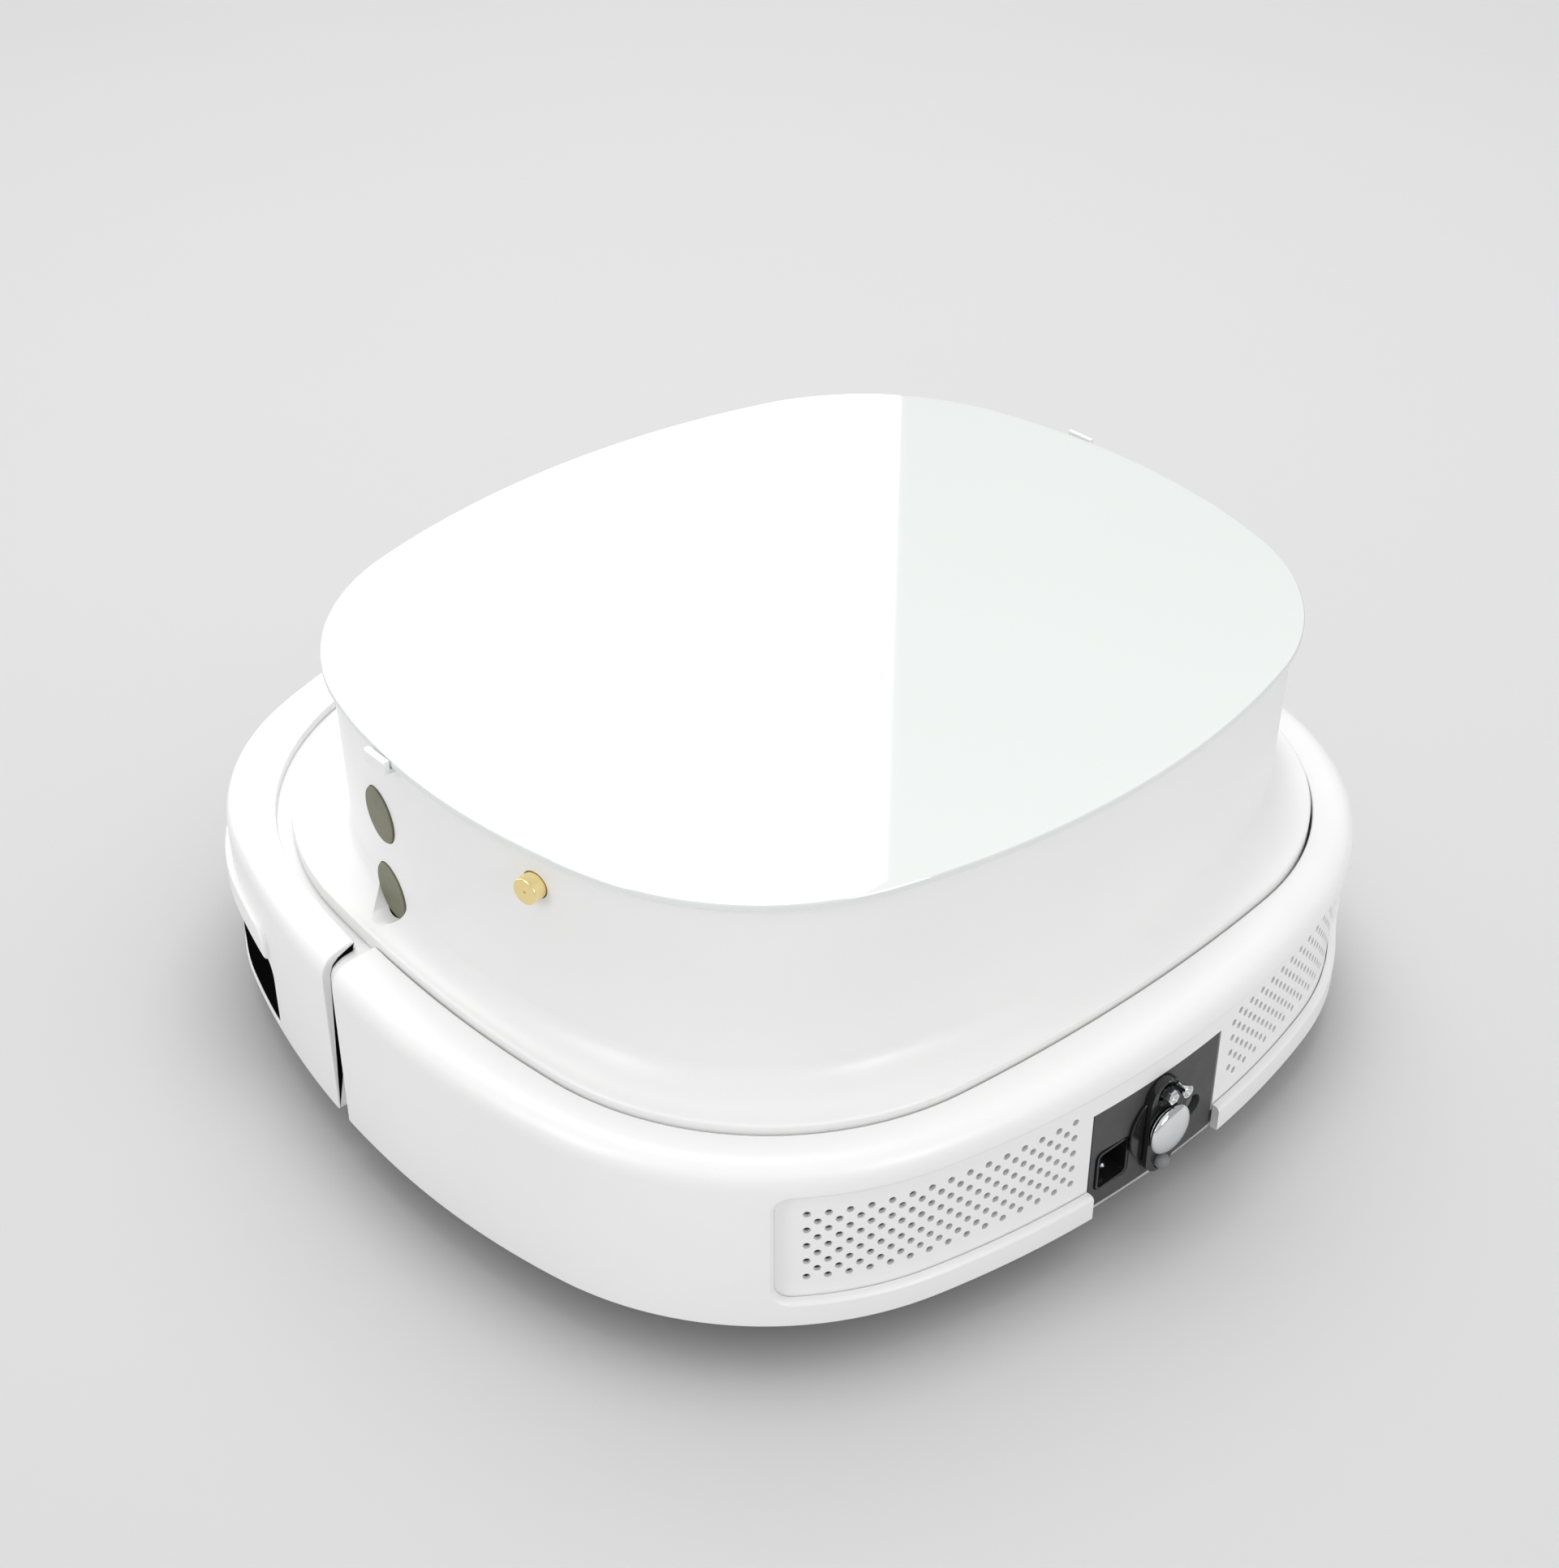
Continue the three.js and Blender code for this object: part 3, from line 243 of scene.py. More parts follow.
def half_hoop(name, profile, end, limit, round_r=0.7):
    """Part of a hoop on one side of the plane y = limit, its two ends rounded over."""
    turn = 1 if end == "rear" else -1
    columns = []
    for into in (0.0, 0.1, 0.3, 0.6, 1.0):
        fall = round_r * (1 - math.sqrt(1 - (1 - into) ** 2))
        ends = shrunk(profile, fall) if fall else profile
        columns.append([open_points(s, end, limit + turn * into * round_r) for s, _ in ends])
        columns[-1] = (columns[-1], [z for _, z in ends])
    stations = [([p[0] for p in pts], zs) for pts, zs in columns]
    body_pts, body_z = columns[-1]
    stations += [([p[i] for p in body_pts], body_z) for i in range(1, len(body_pts[0]) - 1)]
    stations += [([p[-1] for p in pts], zs) for pts, zs in reversed(columns)]
    verts = [(*p, z) for pts, zs in stations for p, z in zip(pts, zs)]
    count = len(profile)
    faces = skin_faces(len(stations), count)
    last = (len(stations) - 1) * count
    faces += [tuple(range(count)), tuple(range(last, last + count))]
    return mesh_object(name, verts, faces)


def wall_block(name, end, reach, bottom, top, round_r, layers, drops=(1, 1), steps=60):
    """A block that follows the wall with rounded ends; layers lists (inset, growth) from outside to inside."""
    rings = []
    for inset, grow in layers:
        r = round_r + grow
        ends = [reach + grow - r * (1 - math.cos(a)) for a in np.linspace(0, math.pi / 2, 9)[:-1]]
        inner = list(np.linspace(-(reach - round_r), reach - round_r, steps))
        stations = [-s for s in ends] + inner + ends[::-1]
        low_edge, high_edge = [], []
        for s in stations:
            into = max(0.0, r - (reach + grow - abs(s)))
            drop = r - math.sqrt(max(0.0, r * r - into * into))
            (x, y), _ = wall_place(end, s, inset)
            low_edge.append((x, y, bottom - grow + drop * drops[0]))
            high_edge.append((x, y, top + grow - drop * drops[1]))
        rings.append(low_edge + high_edge[::-1])
    count = len(rings[0])
    faces = skin_faces(len(rings), count)
    for base in (0, (len(rings) - 1) * count):
        faces += [(base + i, base + i + 1, base + count - 2 - i, base + count - 1 - i)
                  for i in range(count // 2 - 1)]
    return mesh_object(name, sum(rings, []), faces)


def turned(name, profile, segments=48):
    """A turned solid about Z from [radius, height] points that start and end on the axis."""
    inner = [p for p in profile if p[0] > 0]
    verts = [(r * math.cos(a), r * math.sin(a), z)
             for a in np.linspace(0, 2 * math.pi, segments, endpoint=False) for r, z in inner]
    count = len(inner)
    solid = profile[0][0] == 0
    faces = skin_faces(segments, count, closed_around=not solid, closed_along=True)
    if solid:
        verts += [(0, 0, profile[0][1]), (0, 0, profile[-1][1])]
        for k in range(segments):
            n = (k + 1) % segments
            faces.append((len(verts) - 2, n * count, k * count))
            faces.append((len(verts) - 1, k * count + count - 1, n * count + count - 1))
    mesh = bpy.data.meshes.new(name)
    mesh.from_pydata([(Vector(v)) * MM for v in verts], [], faces)
    obj = bpy.data.objects.new(name, mesh)
    bpy.context.scene.collection.objects.link(obj)
    return face_out(obj)


def arc(cx, cz, r, start, end, steps=8):
    return [(cx + r * math.cos(math.radians(a)), cz + r * math.sin(math.radians(a)))
            for a in np.linspace(start, end, steps)]


def moved(obj, turn, x=0.0, y=0.0, z=0.0):
    """Turns a piece made about the origin, then puts it at a place above the wall's foot."""
    obj.data.transform(Matrix.Translation((Vector((x, y, z)) + SHIFT) * MM) @ turn)
    return obj


OUT_OF_PANEL = Matrix.Rotation(-math.pi / 2, 4, "X")
TO_THE_LEFT = Matrix.Rotation(math.pi / 2, 4, "Y")


def on_panel(obj, x, z, depth=0.0):
    return moved(obj, OUT_OF_PANEL, x, PANEL_FACE + depth, z)


def apply_modifiers(obj):
    graph = bpy.context.evaluated_depsgraph_get()
    mesh = bpy.data.meshes.new_from_object(obj.evaluated_get(graph))
    obj.modifiers.clear()
    obj.data = mesh
    return obj


def carve(obj, *tools):
    for tool in tools:
        modifier = obj.modifiers.new("carve", "BOOLEAN")
        modifier.operation = "DIFFERENCE"
        modifier.solver = "MANIFOLD"
        modifier.object = tool
        apply_modifiers(obj)
        bpy.data.objects.remove(tool)
    return obj


def rounded_off(obj, width, angle=40, segments=3):
    modifier = obj.modifiers.new("round", "BEVEL")
    modifier.width = width * MM
    modifier.segments = segments
    modifier.limit_method = "ANGLE"
    modifier.angle_limit = math.radians(angle)
    modifier.harden_normals = False
    return apply_modifiers(obj)


def joined(obj, *others):
    bm = bmesh.new()
    for o in (obj, *others):
        bm.from_mesh(o.data)
    bm.to_mesh(obj.data)
    bm.free()
    for o in others:
        bpy.data.objects.remove(o)
    return obj


def prism(name, width, height, round_r, start, end, steps=12):
    """A rounded rectangle pushed along Z from start to end, centred on the origin."""
    x, y = width / 2 - round_r, height / 2 - round_r
    ring = []
    for cx, cy, a in ((x, y, 0), (-x, y, 90), (-x, -y, 180), (x, -y, 270)):
        ring += arc(cx, cy, round_r, a, a + 90, steps)
    verts = [(px, py, z) for z in (start, end) for px, py in ring]
    n = len(ring)
    faces = skin_faces(2, n) + [tuple(range(n)), tuple(range(n, 2 * n))]
    mesh = bpy.data.meshes.new(name)
    mesh.from_pydata([Vector(v) * MM for v in verts], [], faces)
    obj = bpy.data.objects.new(name, mesh)
    bpy.context.scene.collection.objects.link(obj)
    edit(obj, lambda bm: bmesh.ops.remove_doubles(bm, verts=bm.verts, dist=1e-7))
    return face_out(obj)


def rod(radius, start, end, segments=48):
    return turned("rod", [(0, start), (radius, start), (radius, end), (0, end)], segments)


# ---------------------------------------------------------------- materials

class Nodes:
    """A Principled material with noise-driven colour, roughness and bump."""

    def __init__(self, name):
        self.material = bpy.data.materials.new(name)
        self.material.use_nodes = True
        self.tree = self.material.node_tree
        self.shader = self.tree.nodes["Principled BSDF"]
        self.place = self.add("ShaderNodeTexCoord").outputs["Object"]

    def add(self, kind, **inputs):
        node = self.tree.nodes.new(kind)
        for key, value in inputs.items():
            node.inputs[key.replace("_", " ")].default_value = value
        return node

    def link(self, source, target):
        self.tree.links.new(source, target)

    def noise(self, scale, detail=3.0, roughness=0.55, stretch=None):
        node = self.add("ShaderNodeTexNoise", Scale=scale, Detail=detail, Roughness=roughness)
        source = self.place
        if stretch:
            mapping = self.add("ShaderNodeMapping", Scale=stretch)
            self.link(source, mapping.inputs["Vector"])
            source = mapping.outputs["Vector"]
        self.link(source, node.inputs["Vector"])
        return node.outputs["Fac"]

    def ranged(self, source, low, high, start=0.3, end=0.7):
        node = self.add("ShaderNodeMapRange", From_Min=start, From_Max=end, To_Min=low, To_Max=high)
        self.link(source, node.inputs["Value"])
        return node.outputs["Result"]

    def between(self, source, a, b, start=0.3, end=0.7):
        node = self.add("ShaderNodeValToRGB")
        node.color_ramp.elements[0].position = start
        node.color_ramp.elements[0].color = (*a, 1)
        node.color_ramp.elements[1].position = end
        node.color_ramp.elements[1].color = (*b, 1)
        self.link(source, node.inputs["Fac"])
        return node.outputs["Color"]

    def bump(self, source, distance, strength=1.0, after=None):
        node = self.add("ShaderNodeBump", Strength=strength, Distance=distance)
        self.link(source, node.inputs["Height"])
        if after is not None:
            self.link(after, node.inputs["Normal"])
        return node.outputs["Normal"]


def surface(name, dark, light, rough, patch=9.0, grain=900.0, bump=0.00001, metal=0.0, stretch=None, **more):
    """Colour drifts between two close tones in patches; grain sets the bump and the roughness."""
    n = Nodes(name)
    drift = n.noise(patch, 4.0)
    fine = n.noise(grain, 2.0, 0.6, stretch)
    smudge = n.noise(patch * 4.3, 5.0, 0.6)
    n.link(n.between(drift, dark, light), n.shader.inputs["Base Color"])
    n.link(n.ranged(smudge, rough[0], rough[1]), n.shader.inputs["Roughness"])
    n.link(n.bump(fine, bump), n.shader.inputs["Normal"])
    n.shader.inputs["Metallic"].default_value = metal
    for key, value in more.items():
        n.shader.inputs[key.replace("_", " ")].default_value = value
    return n.material


SHELL = surface("shell_white", (0.86, 0.862, 0.86), (0.9, 0.9, 0.897), (0.3, 0.38), 6, 1500, 0.000022,
                Coat_Weight=0.12, Coat_Roughness=0.3)
LID_WHITE = surface("lid_gloss", (0.77, 0.8, 0.785), (0.785, 0.81, 0.795), (0.035, 0.06), 3, 500, 0.000001,
                    Coat_Weight=1.0, Coat_Roughness=0.03)
PANEL = surface("panel_grey", (0.055, 0.055, 0.057), (0.07, 0.07, 0.072), (0.45, 0.55), 30, 2600, 0.00002)
PANEL_GLOSS = surface("plate_black", (0.012, 0.012, 0.013), (0.02, 0.02, 0.021), (0.12, 0.2),
                      40, 2200, 0.000004)
GLOSS = surface("window_black", (0.002, 0.002, 0.0022), (0.004, 0.004, 0.0045), (0.5, 0.6),
                12, 600, 0.000001, Specular_IOR_Level=0.0)
DARK = surface("plastic_black", (0.009, 0.009, 0.01), (0.017, 0.017, 0.018), (0.3, 0.42), 40, 1800, 0.00002)
GREY = surface("plastic_grey", (0.2, 0.205, 0.21), (0.25, 0.255, 0.26), (0.4, 0.5), 30, 2000, 0.00002)
EYE = surface("eye_olive", (0.13, 0.13, 0.072), (0.15, 0.15, 0.084), (0.38, 0.46), 60, 1800, 0.000004)
GOLD = surface("gold", (0.98, 0.78, 0.36), (1.0, 0.86, 0.47), (0.2, 0.28), 120, 2500, 0.000004, 1.0)
CHROME = surface("chrome", (0.8, 0.81, 0.82), (0.87, 0.87, 0.88), (0.06, 0.12), 90, 1500, 0.000001, 1.0)
STEEL = surface("steel", (0.4, 0.41, 0.43), (0.52, 0.53, 0.54), (0.28, 0.42),
                50, 900, 0.00002, 1.0, (1, 1, 14))
TYRE = surface("tyre_rubber", (0.016, 0.016, 0.016), (0.03, 0.03, 0.029), (0.7, 0.88), 45, 1300, 0.00008)
BOARD = surface("board_green", (0.008, 0.075, 0.028), (0.016, 0.115, 0.045), (0.25, 0.4), 90, 700, 0.00003)
BATTERY = surface("battery_wrap", (0.012, 0.05, 0.14), (0.02, 0.075, 0.2), (0.25, 0.38), 30, 250, 0.00015)
CHASSIS = surface("chassis_grey", (0.48, 0.49, 0.48), (0.56, 0.57, 0.56), (0.45, 0.55), 14, 1300, 0.00004)


def paint(obj, material):
    obj.data.materials.clear()
    obj.data.materials.append(material)


def piece(obj, name, body, nodes, material, sharp=35, weighted=True):
    """Finishes a piece: smooth faces with sharp edges by angle, its material, and what it stands for."""
    obj.name = name
    for polygon in obj.data.polygons:
        polygon.use_smooth = True
    obj.data.set_sharp_from_angle(angle=math.radians(sharp))
    if weighted:
        modifier = obj.modifiers.new("normals", "WEIGHTED_NORMAL")
        modifier.keep_sharp = True
        modifier.weight = 100
    paint(obj, material)
    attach(obj, body)
    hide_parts(*nodes)
    return obj


# ---------------------------------------------------------------- body shells

OUTER_EDGE = [(0, 55), (0, 61), (0.18, 63.4), (0.8, 65.6), (1.7, 67.2), (3, 68.6), (4.7, 69.6), (6.6, 70.3)]


def wall_profile(ring, thickness):
    edge = [(WALL - inset, z) for inset, z in OUTER_EDGE]
    start = WALL - 6.6
    land = [(start + (ring + 0.9 - start) * t, 70.3 + (RING_TOP - 70.3) * math.sin(t * math.pi / 2))
            for t in (0.25, 0.5, 0.75, 1.0)]
    lip = [(ring + 0.4, RING_TOP - 0.08), (ring + 0.12, RING_TOP - 0.3), (ring, RING_TOP - 0.7)]
    inner = [(WALL - (inset + thickness - 3.2), z) for inset, z in ((6.9, 67.2), (4.6, 65.2), (3.4, 62))]
    return [(WALL - 0.5, 0), (WALL - 0.12, 0.15), (WALL, 0.6), (WALL, 30), *edge, *land, *lip,
            (ring, PLATE_BOTTOM), *inner, (WALL - thickness, 58), (WALL - thickness, 0)]


def flared(width, depth):
    """Layers of a cutter whose mouth opens out in a rounded edge."""
    angles = [math.radians(a) for a in (72, 60, 45, 30, 15, 0)]
    arcs = [(width * (1 - math.sin(a)), width * (1 - math.cos(a))) for a in angles]
    slope = math.tan(angles[0])
    mouth = arcs[0][1] + slope * (0.5 + arcs[0][0])
    return [(-7, mouth), (-0.5, mouth), *arcs, (depth, 0)]


def panel_notch():
    notch = prism("notch", 67.4, 60, 1.2, -14.6, 14.6)
    return moved(notch, Matrix.Identity(4), 0, 183, 0)


rear_shell = half_hoop("rear_shell_fine", wall_profile(REAR_RING, 3.2), "rear", REAR_SHELL_END)
recess_tool = wall_block("recess_tool", "rear", RECESS["reach"], RECESS["bottom"], RECESS["top"],
                         RECESS["round"], flared(1.9, 14))
carve(rear_shell, recess_tool, panel_notch())
piece(rear_shell, "rear_shell_fine", "chassis", ["rear_shell"], SHELL)

bumper = half_hoop("front_bumper_fine", wall_profile(BUMPER_RING, 4.2), "front", BUMPER_END)
flange = half_hoop("flange", [
    (WALL - 3.6, 0), (WALL - 3.6, 60), (WALL - 4.0, 62.6), (WALL - 5.0, 64.5), (WALL - 6.6, 65.7),
    (WALL - 9.0, 66.8), (BUMPER_RING, 67.6), (BUMPER_RING - 8, 67.6), (BUMPER_RING - 8, 65.4),
    (WALL - 9.0, 64.6), (WALL - 7.4, 63.4), (WALL - 6.2, 61), (WALL - 5.8, 58), (WALL - 5.8, 0),
], "front", FLANGE_END, 0.3)
slot_reach = wall_distance("front", SLOT_END_Y)
slot_shape = dict(end="front", reach=slot_reach, bottom=SLOT_BOTTOM, top=SLOT_TOP, round_r=SLOT_ROUND,
                  drops=(0.3, 1), steps=120)
carve(bumper, wall_block("slot_tool", layers=flared(0.7, 12), **slot_shape))
carve(flange, wall_block("slot_tool", layers=[(-7, 0), (14, 0)], **slot_shape))
visor = wall_block("visor", "front", slot_reach, VISOR_BOTTOM, VISOR_TOP, VISOR_ROUND, [
    (-2.46, -1.5), (-2.42, -1.05), (-2.2, -0.6), (-1.8, -0.2), (-1.2, 0), (0.6, 0)], drops=(0, 1), steps=120)
joined(bumper, flange, visor)
piece(bumper, "front_bumper_fine", "bumper", ["front_bumper"], SHELL)

window = wall_block("window", "front", slot_reach - WINDOW_GAP, SLOT_BOTTOM + WINDOW_GAP, SLOT_TOP - WINDOW_GAP,
                    SLOT_ROUND, [(0.6, -0.4), (0.7, -0.15), (1.0, 0), (2.8, 0)], drops=(0.3, 1), steps=120)
piece(window, "sensor_window_fine", "bumper", ["sensor_window"], GLOSS)

# ---------------------------------------------------------------- tower and lid

FOOT = LID - TOWER_FOOT_INSET


def sweep(inset, drop, steps):
    """The concave sweep from the plate's edge up to the tower's foot."""
    return [(FOOT + (PLATE - FOOT) * (1 - math.cos(a)) - inset,
             FLARE_TOP - drop - (FLARE_TOP - PLATE_EDGE_TOP) * math.sin(a))
            for a in np.linspace(math.pi / 2, 0, steps + 1)]


tower = hoop("tower", [
    (PLATE - 13, CHASSIS_TOP + 0.4), (PLATE - 13, PLATE_BOTTOM), (PLATE, PLATE_BOTTOM),
    (PLATE, PLATE_EDGE_TOP - 0.9), (PLATE - 0.12, PLATE_EDGE_TOP - 0.45), (PLATE - 0.5, PLATE_EDGE_TOP - 0.1),
    *[(shape - 0.9 * (1 - i / 16), z) for i, (shape, z) in enumerate(sweep(0, 0, 16))],
    *[(FOOT + (LID - 3.2 - FOOT) * t, FLARE_TOP + (TOWER_TOP - FLARE_TOP) * t) for t in (0.33, 0.66, 0.99)],
    (LID - 3.5, TOWER_TOP), (LID - 6, TOWER_TOP), (FOOT - 3, FLARE_TOP), *sweep(3, 3, 6)[::-1][1:-1],
    (PLATE - 16, PLATE_BOTTOM), (PLATE - 16, CHASSIS_TOP + 0.4),
])


def left_facing(obj, x, y, z, tilt=0.0, turn=0.0):
    aim = Matrix.Rotation(turn, 4, "Z") @ Matrix.Rotation(-tilt, 4, "Y") @ TO_THE_LEFT
    return moved(obj, aim, x, y, z)


tools = [left_facing(rod(EYE_HOLE_RADIUS, -12, 14, 96), x, y, z, tilt, EYE_TURN) for _, x, y, z, tilt in EYES]
button_hole = rod(SIDE_BUTTON_HOLE_RADIUS, -12, 8, 64)
tools.append(left_facing(button_hole, *SIDE_BUTTON_PLACE, turn=SIDE_BUTTON_TURN))
carve(tower, *tools)
piece(tower, "tower_fine", "chassis", ["tower_wall", "tower_base"], SHELL)

for name, x, y, z, tilt in EYES:
    lens = turned(name, [(0, -3), (10.5, -3), (10.58, -0.5), (10.4, -0.32), (10.0, -0.28), (0, -0.28)], 96)
    left_facing(lens, x, y, z, tilt, EYE_TURN)
    piece(lens, name + "_fine", "chassis", [name], EYE)

button = turned("button", [
    (0, -8), (4.9, -8), (4.9, 4.5), *arc(4.5, 4.6, 0.4, 0, 90, 5), (3.9, 4.93), (0.62, 4.93),
    (0.5, 4.85), (0.42, 4.3), (0, 4.3)], 64)
left_facing(button, *SIDE_BUTTON_PLACE, turn=SIDE_BUTTON_TURN)
piece(button, "side_button_fine", "side_button", ["side_button"], GOLD)

lid_rings = [(0.9, LID_BOTTOM), (0.35, LID_BOTTOM + 0.15), (0.0, LID_BOTTOM + 0.6), (0.0, LID_TOP - 0.9),
             (0.1, LID_TOP - 0.45), (0.35, LID_TOP - 0.12), (0.75, LID_TOP), (4, LID_TOP), (16, LID_TOP)]
rings = [[(x, y, z) for x, y in outline_points(LID - inset)] for inset, z in lid_rings]
count = len(rings[0])
top = (len(rings) - 1) * count
lid = mesh_object("lid", sum(rings, []), skin_faces(len(rings), count) + [
    tuple(range(count)), tuple(range(top, top + count))])
rim = hoop("rim", [(LID - 7, 147.1), (LID - 7, 153), (LID - 9, 153), (LID - 9, 147.1)])
joined(lid, rim)
piece(lid, "lid_fine", "lid", ["lid"], LID_WHITE)

# ---------------------------------------------------------------- rear grille

grille = wall_block("grille", "rear", 161, 7.6, 60.5, 4, [(3.6, 0), (5.2, 0)], steps=110)
gap = moved(prism("gap", 67.4, 60, 0.6, 0, 45.8), Matrix.Identity(4), 0, 183, 0)
carve(grille, gap)
hole_parts = []
for side in (1, -1):
    for column in range(VENT_COLUMNS):
        tall = (column % 2 == 0) == (side > 0)
        distance = side * (VENT_START + column * VENT_PITCH)
        (px, py), normal = wall_place("rear", distance)
        facing = Matrix.Rotation(math.atan2(normal[1], normal[0]) - math.pi / 2, 4, "Z") @ OUT_OF_PANEL
        for row in range(VENT_ROWS if tall else VENT_ROWS - 1):
            z = VENT_BOTTOM + (2 * row + (0 if tall else 1)) * VENT_ROW_STEP
            hole_parts.append(moved(rod(VENT_RADIUS, -9, 1, 20), facing, px, py, z))
holes = joined(*hole_parts)
carve(grille, holes)
piece(grille, "rear_grille_fine", "chassis", ["rear_grille"], SHELL, weighted=False)

# ---------------------------------------------------------------- service panel

panel_section = [(3.8, 1.3), (8.3, 1.3), (8.3, 45.4), (3.8, 45.4)]
panel_stations = np.linspace(-PANEL_HALF_WIDTH, PANEL_HALF_WIDTH, 41)
corner_count = len(panel_section)
last_ring = corner_count * (len(panel_stations) - 1)
panel = mesh_object(
    "panel",
    [(*wall_place("rear", d, inset)[0], z) for d in panel_stations for inset, z in panel_section],
    skin_faces(len(panel_stations), corner_count) + [
        tuple(range(corner_count)), tuple(range(last_ring, last_ring + corner_count))],
)
carve(
    panel,
    on_panel(prism("hole", 17, 18, 3, -20, 8), *INLET_PLACE),
    on_panel(turned("hole", [
        (0, -20), (RESET_HOLE_RADIUS, -20), (RESET_HOLE_RADIUS, -0.9), (5.75, 0.2), (6.4, 1), (0, 1)], 64),
        *RESET_PLACE),
    on_panel(rod(STEM_HOLE_RADIUS, -20, 8), 0, POWER_Z),
)
piece(panel, "rear_panel_fine", "chassis", ["rear_panel"], PANEL, weighted=False)

socket = prism("socket", 16.2, 17.2, 2.6, -15, -0.35)
pin_holes = [
    moved(rod(PIN_HOLE_RADIUS, -16, 0, 24),
          Matrix.Translation(Vector((0, side * PIN_OFFSET, 0)) * MM - SHIFT * MM)) for side in (-1, 1)]
carve(socket, prism("hole", 14.2, 15.2, 1.7, -12, 4), *pin_holes)
on_panel(rounded_off(socket, 0.35), *INLET_PLACE)
piece(socket, "inlet_socket_fine", "chassis", ["inlet_socket"], PANEL_GLOSS)

disc = turned("rosette", [
    (STEM_HOLE_RADIUS, 0.3), (14.9, 0.3), (14.9, 1.0), (14.6, 1.35), (STEM_HOLE_RADIUS, 1.35)], 96)
piece(on_panel(disc, 0, POWER_Z), "switch_rosette_fine", "chassis", ["switch_rosette"], PANEL_GLOSS)

plate = prism("plate", 16, 41.6, 7.9, 0.3, 3.55, 24)
UP = Vector((0, -1, 0))


def up_the_plate(tool, height):
    """Puts a tool, made about the plate's own centre, some way up the plate."""
    return moved(tool, Matrix.Translation(-SHIFT * MM + UP * height * MM))


carve(
    plate,
    up_the_plate(rod(15.3, -2, 1.7, 96), 0),
    up_the_plate(rod(STEM_HOLE_RADIUS, -2, 9), 0),
    up_the_plate(turned("hole", [(0, -2), (3.6, -2), (3.6, 2.2), (4.2, 2.6), (5.2, 4), (0, 4)], 64),
                 HEX_Z - POWER_Z),
    up_the_plate(rod(LAMP_HOLE_RADIUS, -2, 9), LAMP_Z - POWER_Z),
)
rounded_off(plate, 0.3)
piece(on_panel(plate, 0, POWER_Z), "switch_plate_fine", "chassis", ["switch_plate"], PANEL_GLOSS)

collar = turned("collar", [(STEM_HOLE_RADIUS, 3.9), (7.7, 3.9), *arc(7.6, 4.2, 0.35, -60, 60, 5), (7.3, 5.05),
                           (STEM_HOLE_RADIUS, 5.05)], 72)
piece(on_panel(collar, 0, POWER_Z), "knob_collar_fine", "chassis", ["knob_collar"], CHROME)

dome = [(9.95 * math.cos(a), 6.2 + 3.15 * math.sin(a)) for a in np.linspace(0, math.pi / 2, 20)[:-1]]
knob = turned("knob", [(0, -9), (3.9, -9), (3.9, 7.4), (8.6, 7.4), (8.7, 5.6), (9.0, 5.4), (9.5, 5.45),
                       (9.85, 5.8), *dome, (0, 9.35)], 96)
piece(on_panel(knob, 0, POWER_Z), "power_button_fine", "power_button", ["power_button"], CHROME)

hexagon = turned("hex", [(0, 1.8), (2.75, 1.8), (2.75, 6.4), (2.35, 7.0), (1.3, 7.1), (1.0, 6.7), (0.6, 5.8),
                         (0, 5.8)], 6)
rounded_off(hexagon, 0.12, 25, 2)
piece(on_panel(hexagon, 0, HEX_Z), "hex_stud_fine", "chassis", ["hex_stud"], CHROME, 25)

horn = turned("horn", [(0, 3.9), (1.45, 3.9), (1.4, 4.8), (1.6, 5.6), (2.0, 6.9), (2.45, 8.2), (2.5, 8.6),
                       (2.3, 8.75), (1.9, 8.6), (1.5, 7.6), (0.7, 6.5), (0, 6.2)], 48)
piece(on_panel(horn, *CONE_PLACE), "cone_stud_fine", "chassis", ["cone_stud"], CHROME)

lamp = turned("lamp", [(0, 1.8), (2.95, 1.8), (2.95, 4.0), *arc(0, 4.0, 2.95, 5, 85, 10), (0, 6.95)], 48)
piece(on_panel(lamp, 0, LAMP_Z), "lamp_stud_fine", "chassis", ["lamp_stud"], GREY)

reset = turned("reset", [(0, -11.5), (4.3, -11.5), (4.3, -4.0), *arc(3.9, -3.95, 0.4, 0, 90, 5), (1.6, -3.6),
                         (0, -3.75)], 64)
piece(on_panel(reset, *RESET_PLACE), "reset_button_fine", "reset_button", ["reset_button"],
      GREY)

# ---------------------------------------------------------------- wheels

def wheel_turn(side):
    """Made about Z with +Z outwards."""
    return TO_THE_LEFT if side > 0 else Matrix.Rotation(-math.pi / 2, 4, "Y")


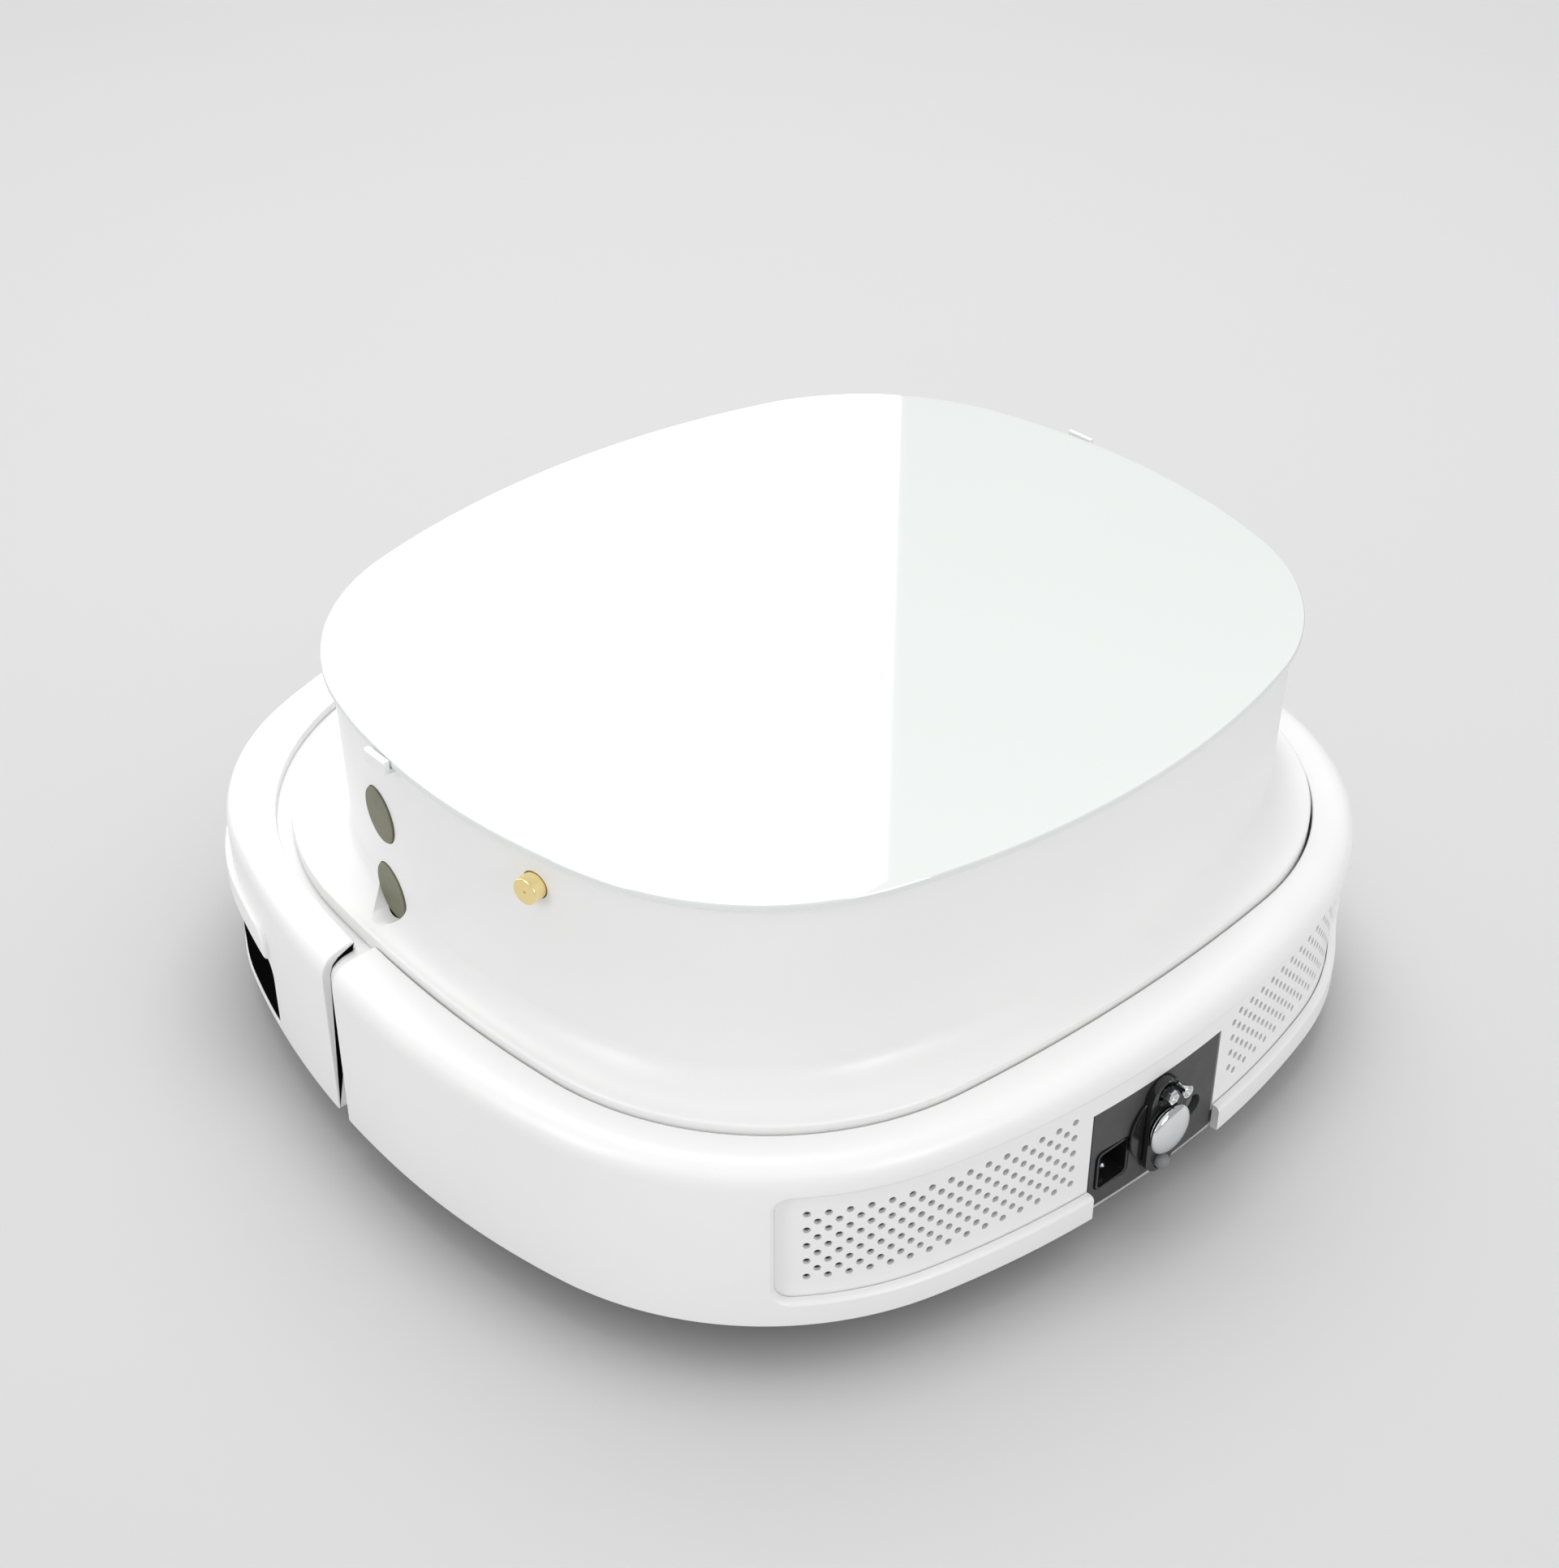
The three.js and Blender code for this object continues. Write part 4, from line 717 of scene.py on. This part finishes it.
for side, label in ((1, "left"), (-1, "right")):
    section = [
        (27.5, -11), (32.6, -11), *arc(32.9, -8.2, 2.7, -90, 0, 6), (35.75, -2.2), (34.6, -1.8),
        (34.6, 1.8), (35.75, 2.2), *arc(32.9, 8.2, 2.7, 0, 90, 6), (32.6, 11), (27.5, 11)]
    tyre = turned("tyre", section, 144)
    lugs = []
    for k in range(TREAD_BLOCKS):
        for z in (-TREAD_ROW, TREAD_ROW):
            angle = math.tau * (k + (0.5 if z > 0 else 0)) / TREAD_BLOCKS
            slit = prism("slit", 1.6, 8.4, 0.5, 34.5, 38)
            lugs.append(moved(slit, Matrix.Translation(-SHIFT * MM) @ Matrix.Rotation(angle, 4, "Z")
                              @ Matrix.Translation((0, 0, z * MM)) @ TO_THE_LEFT
                              @ Matrix.Rotation(math.radians(90 + 18 * z / TREAD_ROW), 4, "Z")))
    carve(tyre, joined(*lugs))
    moved(tyre, wheel_turn(side), side * WHEEL_X, 0, WHEEL_Z)
    piece(tyre, f"wheel_tyre_{label}_fine", f"drive_wheel_{label}", [f"wheel_tyre_{label}"], TYRE,
          weighted=False)

for name, y in CASTER_WHEELS:
    roller = turned("roller", [(2.8, -6), (12.4, -6), *arc(12.2, -4.2, 1.7, -90, 0, 6),
                               *arc(12.2, 4.2, 1.7, 0, 90, 6), (12.4, 6), (2.8, 6)], 72)
    moved(roller, TO_THE_LEFT, 0, y, CASTER_WHEEL_Z)
    piece(roller, f"caster_wheel_{name}_fine", f"caster_roller_{name}", [f"caster_wheel_{name}"], TYRE)

# ---------------------------------------------------------------- materials on the CAD nodes that stay

BY_SLOT = {
    "shell": SHELL, "lid": LID_WHITE, "panel": PANEL, "window_gloss": GLOSS, "dark_plastic": DARK,
    "sensor_eye": EYE, "grey_plastic": GREY, "gold": GOLD, "chrome": CHROME, "steel": STEEL, "tyre": TYRE,
    "rubber": TYRE, "board": BOARD, "battery": BATTERY, "chassis_plastic": CHASSIS,
}
for part in frame["record"]["subparts"]:
    paint(frame["nodes"][part["node"]], BY_SLOT[part["material_slot"]])

# ---------------------------------------------------------------- floor, light and camera

def stage_plane(name, corners, material):
    mesh = bpy.data.meshes.new(name)
    mesh.from_pydata(corners, [], [tuple(range(len(corners)))])
    obj = bpy.data.objects.new(name, mesh)
    bpy.context.scene.collection.objects.link(obj)
    paint(obj, material)
    obj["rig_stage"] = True
    return obj


FLOOR = surface("floor_pale", (0.7, 0.7, 0.7), (0.715, 0.715, 0.715), (0.9, 1.0), 0.6, 200, 0.00001,
                Specular_IOR_Level=0.1)
stage_plane("floor", [(-30, -30, 0), (30, -30, 0), (30, 30, 0), (-30, 30, 0)], FLOOR)


def card(name, corners, color, strength):
    """A card that only mirror-like surfaces see."""
    material = bpy.data.materials.new(name)
    material.use_nodes = True
    tree = material.node_tree
    tree.nodes.clear()
    glow = tree.nodes.new("ShaderNodeEmission")
    glow.inputs["Color"].default_value = (*color, 1)
    glow.inputs["Strength"].default_value = strength
    out = tree.nodes.new("ShaderNodeOutputMaterial")
    tree.links.new(glow.outputs[0], out.inputs["Surface"])
    obj = stage_plane(name, corners, material)
    obj.visible_camera = False
    obj.visible_diffuse = False
    obj.visible_shadow = False
    return obj


CAMERA_PLACE = Vector((0.5353, 0.592, 0.6429))
CAMERA_AIM = Vector((-0.54869, -0.60878, -0.57300))
camera_data = bpy.data.cameras.new("camera")
camera_data.sensor_width = 36
camera_data.lens = 36 * 3069 / 1932
camera_data.clip_start = 0.01
camera_data.clip_end = 100
camera = bpy.data.objects.new("camera", camera_data)
camera.location = CAMERA_PLACE
camera.rotation_euler = CAMERA_AIM.to_track_quat("-Z", "Y").to_euler()
bpy.context.scene.collection.objects.link(camera)
bpy.context.scene.camera = camera

# Two cards behind the car give the lid its sharp, upright change of tone.
WALL_FOOT = Vector((-0.4404, -0.3802, 0))


def standing_card(name, start, end, height, color, strength):
    rise = Vector((0, 0, height))
    return card(name, [start, end, end + rise, start + rise], color, strength)


standing_card("dim_card", WALL_FOOT, Vector((-0.4404, 2.6, 0)), 3.0, (0.97, 1.0, 0.98), 0.42)
standing_card("bright_card", Vector((-2.3, -0.3, 0)), Vector((1.6, -2.6, 0)), 4.5, (0.99, 1.0, 0.99), 2.4)

# The lights from the camera's side fall on the car only, so that its shadow stays dark on the floor.
on_car = bpy.data.collections.new("car_pieces")
for obj in bpy.context.scene.objects:
    if obj.type == "MESH" and "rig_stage" not in obj:
        on_car.objects.link(obj)


def area(name, place, target, size, power, only_car=False):
    data = bpy.data.lights.new(name, "AREA")
    data.shape = "RECTANGLE"
    data.size, data.size_y = size
    data.energy = power
    obj = bpy.data.objects.new(name, data)
    obj.location = place
    obj.rotation_euler = (Vector(target) - Vector(place)).to_track_quat("-Z", "Y").to_euler()
    bpy.context.scene.collection.objects.link(obj)
    if only_car:
        obj.light_linking.receiver_collection = on_car
    return obj


area("top_light", (-0.35, -0.4, 2.1), (0, 0, 0), (1.5, 1.5), 19)
area("left_light", (1.9, -0.2, 0.9), (0, 0, 0.1), (0.7, 1.2), 9, True)
area("rear_light", (0.1, 2.0, 0.8), (0, 0, 0.1), (0.8, 0.8), 9, True)

world = bpy.data.worlds.new("studio")
world.use_nodes = True
sky = world.node_tree
background = sky.nodes["Background"]
direction = sky.nodes.new("ShaderNodeTexCoord")
split = sky.nodes.new("ShaderNodeSeparateXYZ")
ramp = sky.nodes.new("ShaderNodeValToRGB")
ramp.color_ramp.elements[0].position = 0.0
ramp.color_ramp.elements[0].color = (0.55, 0.55, 0.55, 1)
ramp.color_ramp.elements[1].position = 0.8
ramp.color_ramp.elements[1].color = (1, 1, 1, 1)
sky.links.new(direction.outputs["Generated"], split.inputs[0])
sky.links.new(split.outputs["Z"], ramp.inputs["Fac"])
sky.links.new(ramp.outputs["Color"], background.inputs["Color"])
background.inputs["Strength"].default_value = 0.8
bpy.context.scene.world = world
bpy.context.scene.view_settings.view_transform = "Standard"
